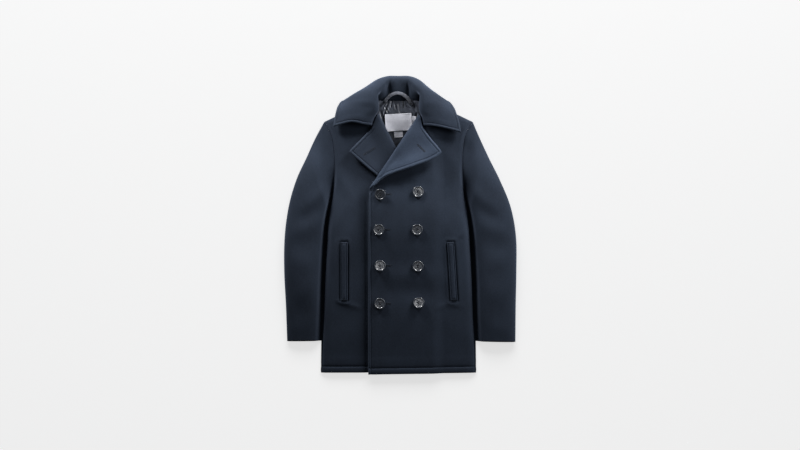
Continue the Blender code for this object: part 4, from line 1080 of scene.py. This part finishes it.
def pleats(x, y):
    """Height of the lining's pleats: sharp valleys with a soft swelling on both sides."""
    height = np.full(np.shape(x), PLEAT_SWELL)
    points = np.stack([x, y], axis=-1)
    for start, end, width, depth in PLEATS:
        line = np.array([start, end], float)
        run = line[1] - line[0]
        d = distance_to(points, line)
        t = (points - line[0]) @ run / (run @ run)
        taper = smoothstep(t, *PLEAT_STARTS) * (1 - smoothstep(t, *PLEAT_ENDS))
        dip = PLEAT_DEEPER * depth * groove(d, 0, width)
        dip = dip - PLEAT_LIP[0] * groove(d, PLEAT_LIP[1] * width, width)
        height = height - dip * taper
    wave = LINING_WAVES[0] * np.sin(x * 0.16 + 0.9 * np.sin(y * 0.06))
    wave = wave + LINING_WAVES[1] * np.sin(y * 0.13 + x * 0.05)
    return np.maximum(height + wave, LINING_LEAST)


def make_lining():
    """The part of the satin lining that shows in the neck."""
    across = np.linspace(-LINING["half"], LINING["half"], LINING_GRID[0])
    sides = smoothstep(np.abs(across), LINING["corner_from"], LINING["half"])
    top = LINING["high"] + (LINING["corner"] - LINING["high"]) * sides
    rows = np.linspace(0, 1, LINING_GRID[1])[:, None]
    y = LINING["low"] + rows * (top - LINING["low"])[None]
    x = np.broadcast_to(across[None], y.shape)
    base = lining_base(x, y)
    puffed = base + LINING_THICK + pleats(x, y) * smoothstep(y, *PLEATS_FROM_Y)
    near, far = (np.stack([x, y, z], axis=-1) for z in (puffed, base))
    lining = cloth("neck_lining", near, far, LINING_SATIN)
    piece(lining, "lining_neck")


LABEL_HEM = {"round": 0.5, "swell": 0.25, "sunk": 0.2, "at": 3.2, "width": 0.5}
LABEL_SINKS = 0.5
LABEL_CURLS = (0.35, 0.3)
LABEL_CURLS_FROM_EDGE = 6


def make_labels():
    """Bare woven labels, slightly curled, with their edges turned in."""
    for name, (x, y, width, height, turn, clearance) in LABELS.items():
        angle = math.radians(turn)
        u, v = np.meshgrid(both_ways(width / 2), both_ways(height / 2))
        px = x + u * math.cos(angle) - v * math.sin(angle)
        py = y + u * math.sin(angle) + v * math.cos(angle)
        edge = np.minimum(width / 2 - np.abs(u), height / 2 - np.abs(v))
        relief = turned_down(edge, LABEL_HEM["round"]) + LABEL_HEM["swell"] * band(edge, 0, LABEL_HEM["at"])
        relief = relief - LABEL_HEM["sunk"] * groove(edge, LABEL_HEM["at"], LABEL_HEM["width"])
        curl = LABEL_CURLS[0] * np.sin(u * 0.11 + 0.8) + LABEL_CURLS[1] * np.sin(v * 0.14 + u * 0.03)
        curl = curl * smoothstep(edge, 0, LABEL_CURLS_FROM_EDGE)
        z = lining_base(px, py) + LINING_THICK + PUCKER + clearance + curl
        near = np.stack([px, py, z + relief], axis=-1)
        far = np.stack([px, py, z - LABEL_THICK - LABEL_SINKS], axis=-1)
        label = cloth(f"bare_{name}", near, far, LABEL_CLOTH)
        piece(label, name)


LOOP_STEPS = 61
LOOP_BEND = 0.75
LOOP_RELIEF = {"edge": 1.2, "middle": 0.5, "groove": 0.3, "at": 1.6, "width": 0.4}
LOOP_UNDER_SHARE = 0.4
LOOP_RIPPLES = (0.12, 0.1)


def make_loop():
    """The satin hanger loop, a folded band whose middle stands up against the collar's stand."""
    t = np.linspace(0, 1, LOOP_STEPS)
    start, end = np.array(LOOP["start"]), np.array(LOOP["end"])
    line = start + (end - start) * t[:, None]
    rise = np.sin(math.pi * t) ** LOOP_BEND
    line[:, 1] += LOOP["rise"] * rise
    across = both_ways(LOOP["width"] / 2)
    plan = strip_along(line, across)
    z = LOOP_HEIGHT[0] + (LOOP_HEIGHT[1] - LOOP_HEIGHT[0]) * np.sqrt(rise)
    edge = LOOP["width"] / 2 - np.abs(across)
    section = turned_down(edge, LOOP_RELIEF["edge"]) + LOOP_RELIEF["middle"] * band(edge, 0, LOOP["width"])
    section = section - LOOP_RELIEF["groove"] * groove(edge, LOOP_RELIEF["at"], LOOP_RELIEF["width"])
    ripple = LOOP_RIPPLES[0] * np.sin(t * 70) + LOOP_RIPPLES[1] * np.sin(t * 31 + 1)
    near = at_height(plan, z[:, None] + section + ripple[:, None])
    far = at_height(plan, z[:, None] - LOOP["thick"] - section * LOOP_UNDER_SHARE)
    loop = cloth("satin_loop", near, far, LOOP_SATIN)
    piece(loop, "hanger_loop")


# ---------------------------------------------------------------- stitches


def stitch_tree():
    """A node tree that lays stitches along a path, each an oval of the given size."""
    tree = bpy.data.node_groups.new("stitch_run", "GeometryNodeTree")
    sockets = {
        "Geometry": "Geometry", "Size": "Vector", "Spacing": "Float", "Sway": "Float", "Seed": "Int",
        "Thread": "Material",
    }
    for name, kind in sockets.items():
        tree.interface.new_socket(name, in_out="INPUT", socket_type=f"NodeSocket{kind}")
    tree.interface.new_socket("Geometry", in_out="OUTPUT", socket_type="NodeSocketGeometry")
    add = tree.nodes.new
    given, result = add("NodeGroupInput").outputs, add("NodeGroupOutput")
    run, spaced = add("GeometryNodeMeshToCurve"), add("GeometryNodeResampleCurve")
    spaced.mode = "LENGTH"
    oval, sized = add("GeometryNodeMeshUVSphere"), add("GeometryNodeTransform")
    for key, value in (("Segments", 6), ("Rings", 4), ("Radius", 0.5)):
        oval.inputs[key].default_value = value
    tangent, facing = add("GeometryNodeInputTangent"), add("FunctionNodeAlignRotationToVector")
    facing.axis, facing.pivot_axis = "X", "Z"
    sway, spread = add("FunctionNodeRandomValue"), add("ShaderNodeMath")
    spread.operation = "MULTIPLY"
    spread.inputs[1].default_value = -1.0
    turn, wobble = add("FunctionNodeAxisAngleToRotation"), add("FunctionNodeRotateRotation")
    wobble.rotation_space = "LOCAL"
    copies, real = add("GeometryNodeInstanceOnPoints"), add("GeometryNodeRealizeInstances")
    smooth, thread = add("GeometryNodeSetShadeSmooth"), add("GeometryNodeSetMaterial")
    for source, node, socket in (
        (given["Geometry"], run, 0), (run.outputs[0], spaced, "Curve"), (given["Spacing"], spaced, "Length"),
        (oval.outputs[0], sized, "Geometry"), (given["Size"], sized, "Scale"),
        (tangent.outputs[0], facing, "Vector"), (given["Sway"], spread, 0), (spread.outputs[0], sway, 2),
        (given["Sway"], sway, 3), (given["Seed"], sway, "Seed"), (sway.outputs[1], turn, "Angle"),
        (facing.outputs[0], wobble, 0), (turn.outputs[0], wobble, 1), (spaced.outputs[0], copies, "Points"),
        (sized.outputs[0], copies, "Instance"), (wobble.outputs[0], copies, "Rotation"),
        (copies.outputs[0], real, 0), (real.outputs[0], smooth, 0), (smooth.outputs[0], thread, "Geometry"),
        (given["Thread"], thread, "Material"), (thread.outputs[0], result, 0),
    ):
        tree.links.new(source, node.inputs[socket])
    return tree


STITCHES = stitch_tree()


def stitched(
    name, paths, size=STITCH, spacing=STITCH_SPACING, sway=0.1, seed=4, finish=NAVY_THREAD, slot="melton",
):
    """Stitches along these runs of points in plan mm, as one plain mesh on the coat."""
    points, edges = [], []
    for path in paths:
        first = len(points)
        points.extend(to_row(path).tolist())
        edges.extend((first + k, first + k + 1) for k in range(len(path) - 1))
    mesh = bpy.data.meshes.new(f"{name}_path")
    mesh.from_pydata(points, edges, [])
    guide = linked(f"{name}_path", mesh)
    modifier = guide.modifiers.new("stitches", "NODES")
    modifier.node_group = STITCHES
    values = {
        "Size": [value * MM for value in size], "Spacing": spacing * MM, "Sway": sway, "Seed": seed,
        "Thread": finish,
    }
    for item in STITCHES.interface.items_tree:
        if item.in_out == "INPUT" and item.name in values:
            modifier[item.identifier] = values[item.name]
    view = bpy.context.evaluated_depsgraph_get()
    view.update()
    result = bpy.data.meshes.new_from_object(guide.evaluated_get(view), depsgraph=view)
    result.name = name
    bpy.data.objects.remove(guide)
    on_coat(linked(name, result))


def top_of(obj):
    """A function for the height in mm of a piece's upper side at a plan point."""
    points = [v.co for v in obj.data.vertices]
    tree = BVHTree.FromPolygons(points, [tuple(p.vertices) for p in obj.data.polygons])

    def height(x, y):
        start = Vector(to_row((x, y, 0)).tolist()) + Vector((0, 0, 1))
        return tree.ray_cast(start, Vector((0, 0, -1)))[0].z / MM

    return height


def laid_on(obj, points, lift):
    """Plan points put on a piece's upper side."""
    height = top_of(obj)
    return np.array([(x, y, height(x, y) + lift) for x, y in points])


def inset(line, distance):
    """A run of straight lines moved to its right by this distance."""
    run = unit(np.diff(line, axis=0))
    right = np.stack([run[:, 1], -run[:, 0]], axis=-1)
    moved = [line[0] + right[0] * distance]
    for k in range(1, len(line) - 1):
        middle = unit(right[k - 1] + right[k])
        moved.append(line[k] + middle * distance / (middle @ right[k]))
    moved.append(line[-1] + right[-1] * distance)
    return np.array(moved)


def evenly(line, step):
    """Points along a run of straight lines, this far apart."""
    line = np.array(line, float)
    length = np.linalg.norm(np.diff(line, axis=0), axis=1).sum()
    return along_lines(line, np.linspace(0, 1, max(2, round(length / step))))


def front_point(side, plan, behind):
    """Points of a front, this far behind its outer face."""
    h = 0.5
    place = turned(side, plan)
    dx = turned(side, plan + (h, 0)) - turned(side, plan - (h, 0))
    dy = turned(side, plan + (0, h)) - turned(side, plan - (0, h))
    return on_side(side, place - unit(np.cross(dx, dy)) * behind)[0][:, 0]


def stitch_fronts():
    """Topstitching along the front edge and round both lapels."""
    for side in SIDES:
        line = inset(front_edge(side), STITCH_FROM_EDGE)
        straight = evenly([line[0] + (0, 3), line[1]], STRAIGHT_PATH_STEP)[:, None]
        turned_back = evenly(line[8:], PATH_STEP)[:, None]
        edge_run = front_point(side, straight, STITCH_SUNK - STITCH_SHOWS)
        lapel_run = front_point(side, turned_back, LAPEL_LAYERS - STITCH_SUNK + STITCH_SHOWS)
        stitched(f"{side}_front_stitches", (edge_run, lapel_run))


ON_COLLAR = 0.15


def stitch_collar(face, from_edge, along):
    """Topstitching along the upper collar's two ends and its outer edge."""
    rows, columns = from_edge.shape
    d = STITCH_FROM_EDGE

    def point_at(value, values, line):
        return [np.interp(value, values, line[:, axis]) for axis in range(3)]

    first = [
        point_at(d, along[:, k], face[:, k]) for k in range(columns)
        if from_edge[rows // 2, k] > d and along[-1, k] > 2 * d and from_edge[0, k] > d
    ]
    outer = [
        point_at(-d, -from_edge[i], face[i]) for i in range(rows)
        if d < along[i, -4] < along[-1, -4] - d
    ]
    last = [
        point_at(along[-1, k] - d, along[:, k], face[:, k]) for k in range(columns)
        if from_edge[-1, k] > d
    ]
    path = np.array(first + outer + last[::-1])
    path[:, 2] += ON_COLLAR
    stitched("collar_stitches", (path,), seed=5)


def stadium(start, end, half, step=0.35):
    """A closed run round a slot from start to end."""
    start, end = np.array(start, float), np.array(end, float)
    along = unit(end - start)
    side = np.array((-along[1], along[0]))
    turns = np.linspace(-math.pi / 2, math.pi / 2, 9)
    caps = [half * (math.cos(a) * along + math.sin(a) * side) for a in turns]
    return evenly([end + cap for cap in caps] + [start - cap for cap in caps] + [end + caps[0]], step)


BUTTONHOLE_HALF = 1.5
BUTTONHOLES = tuple(((x + 2, y), (x + 29, y + 0.5)) for x, y in (
    (-50.1, 505), (-54.6, 407), (-51.2, 306.6), (-51.8, 201),
))
LAPEL_BUTTONHOLES = {"left": ((53.2, 643.4), (73.1, 623.6)), "right": ((-95.5, 617), (-66.9, 634.8))}
RIM_STITCH = {"size": (0.62, 2.3, 0.75), "spacing": 0.62, "sway": 0.06, "seed": 7}
# The slits are dark thread bars along each buttonhole's middle: painted shade in place of an open cut.
FRONT_SLIT_SHADE = {"size": (1.6, 1.0, 0.5), "spacing": 0.5, "sway": 0.0, "seed": 8}
LAPEL_SLIT_SHADE = {**FRONT_SLIT_SHADE, "size": (1.6, 0.6, 0.3)}
TACK_STITCH = {"size": (0.55, 2.2, 0.7), "spacing": 0.6, "sway": 0.05, "seed": 10}
LABEL_STITCH = {
    "size": (1.7, 0.35, 0.35), "spacing": 2.3, "seed": 11, "finish": LABEL_THREAD, "slot": "label",
}
ON_CLOTH = 0.1  # how far a thread's middle lies over the cloth
TACK_HALF = 8.4
TACK_FROM_END = 1.9
LABEL_STITCH_FROM_EDGE = 1.6


def make_buttonholes():
    """Worked buttonholes beside the left column of buttons and on both lapels."""
    groups = [("left_front", BUTTONHOLES, FRONT_SLIT_SHADE)]
    groups += [(f"{side}_facing", (ends,), LAPEL_SLIT_SHADE) for side, ends in LAPEL_BUTTONHOLES.items()]
    for carrier, holes, slit in groups:
        under = bpy.data.objects[carrier]
        rims = [laid_on(under, stadium(*ends, BUTTONHOLE_HALF), ON_CLOTH) for ends in holes]
        # A dark thread bar along each buttonhole's middle, as painted shade in the cut.
        slit_shades = [laid_on(under, evenly(ends, 0.6), 0.0) for ends in holes]
        stitched(f"{carrier}_buttonhole_stitches", rims, **RIM_STITCH)
        stitched(f"{carrier}_buttonhole_slits", slit_shades, **slit)


def stitch_welts():
    """A row of stitches in each long groove of a welt, and a bar tack across each end."""
    for side, sign in SIDES.items():
        top, bottom = (np.array(p, float) * (sign, 1) for p in WELTS[side])
        along = unit(bottom - top)
        across = np.array((-along[1], along[0]))
        welt = bpy.data.objects[f"{side}_welt"]
        runs, tacks = [], []
        for at in (-1, 1):
            offset = across * at * WELT_GROOVE
            line = [top + offset + along * 2, bottom + offset - along * 2]
            runs.append(laid_on(welt, evenly(line, 1.2), ON_CLOTH))
        for end, way in ((top, 1), (bottom, -1)):
            line = np.array([end - across * TACK_HALF, end + across * TACK_HALF])
            tacks.append(laid_on(welt, evenly(line + along * way * TACK_FROM_END, 0.5), ON_CLOTH))
        stitched(f"{side}_welt_stitches", runs, seed=9)
        stitched(f"{side}_welt_tacks", tacks, **TACK_STITCH)


def stitch_labels():
    """White thread just inside the edges of each label."""
    around = ((-1, -1), (1, -1), (1, 1), (-1, 1), (-1, -1))
    for name, (x, y, width, height, turn, _clearance) in LABELS.items():
        angle = math.radians(turn)
        along = np.array((math.cos(angle), math.sin(angle)))
        up = np.array((-along[1], along[0]))
        w, h = width / 2 - LABEL_STITCH_FROM_EDGE, height / 2 - LABEL_STITCH_FROM_EDGE
        corners = [(x, y) + along * u * w + up * v * h for u, v in around]
        run = laid_on(bpy.data.objects[f"bare_{name}"], evenly(corners, 0.8), ON_CLOTH / 2)
        stitched(f"{name}_stitches", (run,), **LABEL_STITCH)


# ---------------------------------------------------------------- buttons

BUTTON = {"radius": 15.5, "thick": 4.5, "foot": 14.4, "rim": 13.0, "dish": 12.0, "dish_z": 3.4}
BUTTON_HOLE = {"radius": 1.3, "place": 2.9 / math.sqrt(2), "depth": 2.9, "slope": (-0.2, 0.15)}
HOLE_LIP = (0.18, 0.6, 0.35)  # height, distance from the hole, width
BUTTON_TURNS = 128
BUTTON_EDGE = 1.3
DISH_SLOPE = (-0.6, 0.2)  # the dish's slope, from inside its radius to past the rim's
DISH_HOLLOW = 0.25
RIM_SWELL = 0.12
BUTTON_SHARP = 60  # degrees between faces that make an edge
LEAN_LIFT = 0.8
FOOT_POINTS = 12
BUTTON_BASE = ((0.0, 1.6), (-0.25, 0.8))  # past its radius, and height, of the rings over the foot
BUTTON_SINKS = 0.3
BUTTON_FACE_FROM = 2.8  # height from which the moulded relief shows
ROPE = {"strands": 44, "height": 0.22, "slant": 1.6, "middle": 13.85}
RELIEF_HEIGHT = 0.42
RELIEF_SLOPE = (-0.25, 0.35)  # from and to how far past its half width a line falls off
ANCHOR_LINES = (  # start, end, half width
    ((0, -7.4), (0, 6.2), 0.55), ((-3.7, 4.7), (3.7, 4.7), 0.5), ((-3.7, 4.7), (-3.7, 4.7), 0.85),
    ((3.7, 4.7), (3.7, 4.7), 0.85), ((-6.2, -3.6), (-7.4, -1.4), 0.75), ((6.2, -3.6), (7.4, -1.4), 0.75),
    ((-6.3, -3.5), (-4.7, -2.8), 0.6), ((6.3, -3.5), (4.7, -2.8), 0.6),
)
ANCHOR_ROUNDS = (  # the ring and the arms: centre's y, radius, half width, half angle below
    (7.9, 1.5, 0.42, 360), (-0.2, 7.2, 0.62, 58),
)
STRAND = {"radius": 0.36, "apart": 0.35, "steps": 17, "sunk": 1.4, "rise": 2.2}
BUTTONS = {  # degrees towards the collar, degrees about its own axis
    "button_right_1": (0.5, -12), "button_right_2": (-2.0, 8), "button_right_3": (7.0, 24),
    "button_right_4": (1.5, -6), "button_left_1": (-1.2, 15), "button_left_2": (-0.5, -20),
    "button_left_3": (1.0, 5), "button_left_4": (9.0, 30),
}


def raised(d, half):
    return 1 - smoothstep(d, half + RELIEF_SLOPE[0], half + RELIEF_SLOPE[1])


def button_relief(x, y):
    """The moulded face: an old ship's anchor within a rope ring, and four sewing holes."""
    points = np.stack([x, y], axis=-1)
    r = np.hypot(x, y)
    shape = np.zeros(np.shape(x))
    for start, end, half in ANCHOR_LINES:
        line = np.array([start, end], float)
        shape = np.maximum(shape, raised(distance_to(points, line), half))
    for cy, radius, half, spread in ANCHOR_ROUNDS:
        off = np.degrees(np.abs(np.arctan2(x, cy - y)))
        shape = np.maximum(shape, raised(np.abs(np.hypot(x, y - cy) - radius), half) * (off < spread))
    shape = shape * (r < BUTTON["dish"] - 1)
    across = r - ROPE["middle"]
    strands = np.cos(ROPE["strands"] * np.arctan2(y, x) + ROPE["slant"] * across)
    rope = ROPE["height"] * strands * np.clip(1 - across**2, 0, 1)
    hole = np.hypot(np.abs(x) - BUTTON_HOLE["place"], np.abs(y) - BUTTON_HOLE["place"])
    pit = 1 - smoothstep(hole, *(BUTTON_HOLE["radius"] + k for k in BUTTON_HOLE["slope"]))
    lip = HOLE_LIP[0] * groove(hole, BUTTON_HOLE["radius"] + HOLE_LIP[1], HOLE_LIP[2])
    return RELIEF_HEIGHT * shape * (1 - pit) + rope + lip - BUTTON_HOLE["depth"] * pit


def button_rings():
    """Radius and height of the button's rings, from the middle of its face to its underside."""
    dish, rim, radius, thick = (BUTTON[key] for key in ("dish", "rim", "radius", "thick"))
    low = BUTTON["dish_z"]
    top, flat_to = rim + DISH_SLOPE[1], radius - BUTTON_EDGE
    foot = dish + DISH_SLOPE[0]
    radii = marks((1.0, 0.5), (4.8, 0.2), (foot, 0.36))[1:]
    rings = [(r, low - DISH_HOLLOW * (1 - (r / dish) ** 2)) for r in radii]
    for s in np.arange(1, 6) / 5:
        rings.append((foot + s * (top - foot), low + (thick - low) * smoothstep(s, 0, 1)))
    for r in np.linspace(top, flat_to, 5)[1:]:
        rings.append((r, thick + RIM_SWELL * math.sin(math.pi * (r - top) / (flat_to - top))))
    for a in math.pi / 2 * np.arange(1, 7) / 6:
        rings.append((flat_to + BUTTON_EDGE * math.sin(a), thick - BUTTON_EDGE + BUTTON_EDGE * math.cos(a)))
    rings += [(radius + past, z) for past, z in BUTTON_BASE]
    return np.array(rings + [(BUTTON["foot"] + 0.3, 0.25), (BUTTON["foot"], 0.0)])


def ring_faces(rings, sides):
    """Faces between rings of points that each have this many sides, and the points' index."""
    index = np.arange(rings * sides).reshape(rings, sides)
    after = np.roll(index, -1, axis=1)
    faces = np.stack([index[:-1], index[1:], after[1:], after[:-1]], axis=-1)
    return faces.reshape(-1, 4).tolist(), index, after


def button_mesh():
    rings = button_rings()
    angle = np.arange(BUTTON_TURNS) * 2 * math.pi / BUTTON_TURNS
    x = rings[:, :1] * np.cos(angle)
    y = rings[:, :1] * np.sin(angle)
    z = rings[:, 1:] + button_relief(x, y) * (rings[:, 1:] > BUTTON_FACE_FROM)
    points = np.stack([x, y, z], axis=-1).reshape(-1, 3)
    middle = rings[0, 1] + float(button_relief(np.zeros(1), np.zeros(1))[0])
    points = np.concatenate([points, [(0, 0, middle), (0, 0, 0)]])
    faces, index, after = ring_faces(len(rings), BUTTON_TURNS)
    top, bottom = len(points) - 2, len(points) - 1
    faces += [(top, int(a), int(b)) for a, b in zip(index[0], after[0])]
    faces += [(bottom, int(b), int(a)) for a, b in zip(index[-1], after[-1])]
    return points, faces


def tube(points, radius, sides=8):
    """A closed round tube along these points."""
    run = unit(np.gradient(points, axis=0))
    across = unit(np.cross(run, (0.0, 0.3, 1.0)))
    up = np.cross(across, run)
    angle = np.arange(sides) * 2 * math.pi / sides
    ring = across[:, None] * np.cos(angle)[None, :, None] + up[:, None] * np.sin(angle)[None, :, None]
    faces, index, _after = ring_faces(len(points), sides)
    faces += [index[0].tolist(), index[-1, ::-1].tolist()]
    return (points[:, None] + ring * radius).reshape(-1, 3), faces


def button_thread_mesh():
    """Two pairs of strands that cross the button's face between its holes."""
    place, apart = BUTTON_HOLE["place"], STRAND["apart"]
    t = np.linspace(0, 1, STRAND["steps"])
    x = place * np.cos(math.pi * t) * -1.0
    z = BUTTON["dish_z"] - STRAND["sunk"] + STRAND["rise"] * np.sin(math.pi * t) ** 0.6
    verts, faces = [], []
    for y in (-place - apart, -place + apart, place - apart, place + apart):
        points, quads = tube(np.stack([x, np.full(len(t), y), z], axis=-1), STRAND["radius"])
        first = sum(len(v) for v in verts)
        verts.append(points)
        faces += [tuple(first + k for k in quad) for quad in quads]
    return np.concatenate(verts), faces


def seat_of(node):
    """Where a CAD button sits: the middle of its underside and its axis, in metres."""
    points = np.array([v.co for v in bpy.data.objects[node].data.vertices])
    middle = points.mean(axis=0)
    axis = np.linalg.svd(points - middle)[2][2]
    axis = axis if axis[2] > 0 else -axis
    low = ((points - middle) @ axis).min()
    return Vector(middle + axis * low), Vector(axis)


def settled(seat, axis, cloth_height):
    """The seat moved along z until the button's foot just sinks into the cloth."""
    gaps = []
    for a in np.arange(FOOT_POINTS) * 2 * math.pi / FOOT_POINTS:
        x, y = math.cos(a) * BUTTON["foot"] * MM, math.sin(a) * BUTTON["foot"] * MM
        z = seat.z - (axis.x * x + axis.y * y) / axis.z
        plan = np.array((seat.x + x, seat.y + y)) / MM + PLAN_MIDDLE
        gaps.append(z - cloth_height(*plan) * MM)
    return seat - Vector((0, 0, min(gaps) + BUTTON_SINKS * MM))


def placed(name, points, faces, finish, matrix):
    mesh = bpy.data.meshes.new(name)
    mesh.from_pydata((np.asarray(points) * MM).tolist(), [], faces)
    mesh.transform(matrix)
    mesh.shade_smooth()
    mesh.set_sharp_from_angle(angle=math.radians(BUTTON_SHARP))
    mesh.materials.append(finish)
    return on_coat(linked(name, mesh))


def make_buttons():
    """The eight buttons and the thread that holds them, each leaning a little its own way."""
    face, strands = button_mesh(), button_thread_mesh()
    cloth_height = top_of(bpy.data.objects["left_front"])
    for name, (tilt, spin) in BUTTONS.items():
        seat, axis = seat_of(name)
        seat = settled(seat, axis, cloth_height)
        lean = math.radians(tilt)
        seat = seat + axis * (BUTTON["foot"] * MM * math.sin(abs(lean)) * LEAN_LIFT)
        settle = Vector((0, 0, 1)).rotation_difference(axis).to_matrix().to_4x4()
        matrix = Matrix.Translation(seat) @ settle @ Matrix.Rotation(-lean, 4, "X")
        matrix = matrix @ Matrix.Rotation(math.radians(spin), 4, "Z")
        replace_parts(placed(f"{name}_face", *face, BUTTON_PLASTIC, matrix), name)
        placed(f"{name}_thread", *strands, BUTTON_THREAD, matrix)


# ---------------------------------------------------------------- floor, light and camera

FLOOR_SIZE = 8.0
FLOOR_CUTS = 8
FLOOR_Z = -0.0004
FLOOR_GLOW = 0.645  # a light table: the part of the floor's brightness that is its own
CAMERA_HEIGHT = 3.0
VIEW_WIDTH = 2.24  # what the picture shows, in metres, at the coat's mid height
COAT_MID_HEIGHT = 0.025
SENSOR = 36.0
CAMERA_OVER = (-0.0006, 0.002)
WORLD_LIGHT = 0.10
LAMPS = {  # what it lights, width and height in m, power in W, place, what it points at
    "on_floor": ("floor", (4.8, 2.4), 140, (0.1, 4.8, 2.4), (0, -0.1, 0)),
    "low_left": ("coat", (0.3, 0.3), 28, (-0.75, 1.05, 0.36), (0, 0.1, 0)),
    "low_right": ("coat", (0.38, 0.38), 37, (0.85, 1.2, 0.4), (0, 0.1, 0)),
    "right": ("coat", (0.8, 0.8), 18, (1.6, 0.5, 0.9), (0, 0, 0)),
    "on_buttons": ("buttons", (1.1, 0.3), 9, (0.2, 0.35, 2.6), (0, 0, 0)),
}


def make_floor():
    bpy.ops.mesh.primitive_grid_add(
        x_subdivisions=FLOOR_CUTS, y_subdivisions=FLOOR_CUTS, size=FLOOR_SIZE, location=(0, 0, FLOOR_Z),
    )
    floor = bpy.context.object
    floor.name = "floor"
    floor.data.materials.append(floor_paint())
    return floor


def lit_by(name, objects, state="INCLUDE"):
    """What a lamp lights: these objects alone, or all but these."""
    group = bpy.data.collections.new(name)
    for k, obj in enumerate(objects):
        group.objects.link(obj)
        group.collection_objects[k].light_linking.link_state = state
    return group


def lamp(name, lights, size, power, at, look_at):
    """A soft rectangular lamp that lights one group."""
    data = bpy.data.lights.new(name, "AREA")
    data.shape = "RECTANGLE"
    data.size, data.size_y = size
    data.energy = power
    obj = linked(name, data)
    obj.location = at
    obj.rotation_euler = (Vector(look_at) - Vector(at)).to_track_quat("-Z", "Y").to_euler()
    obj.light_linking.receiver_collection = lights


def make_light_and_camera(floor):
    scene = bpy.context.scene
    scene.world = bpy.data.worlds.new("studio")
    scene.world.use_nodes = True
    sky = scene.world.node_tree.nodes["Background"].inputs
    sky["Color"].default_value = (1, 1, 1, 1)
    sky["Strength"].default_value = WORLD_LIGHT
    buttons = [obj for obj in bpy.data.objects if obj.name.endswith(("_face", "_thread"))]
    groups = {
        "floor": lit_by("floor", [floor]), "coat": lit_by("coat", [floor], "EXCLUDE"),
        "buttons": lit_by("buttons", buttons),
    }
    floor.light_linking.receiver_collection = groups["floor"]
    for name, (group, size, power, at, look_at) in LAMPS.items():
        lamp(name, groups[group], size, power, at, look_at)
    view = bpy.data.cameras.new("camera")
    view.sensor_width = SENSOR
    view.lens = SENSOR * (CAMERA_HEIGHT - COAT_MID_HEIGHT) / VIEW_WIDTH
    scene.camera = linked("camera", view)
    scene.camera.location = (*CAMERA_OVER, CAMERA_HEIGHT)
    scene.view_settings.view_transform = "Standard"


# ---------------------------------------------------------------- the coat

make_backs()
make_fronts()
make_sleeves()
make_collar()
make_welts()
make_lining()
make_labels()
make_loop()
make_buttons()
stitch_fronts()
stitch_welts()
stitch_labels()
make_buttonholes()
make_light_and_camera(make_floor())
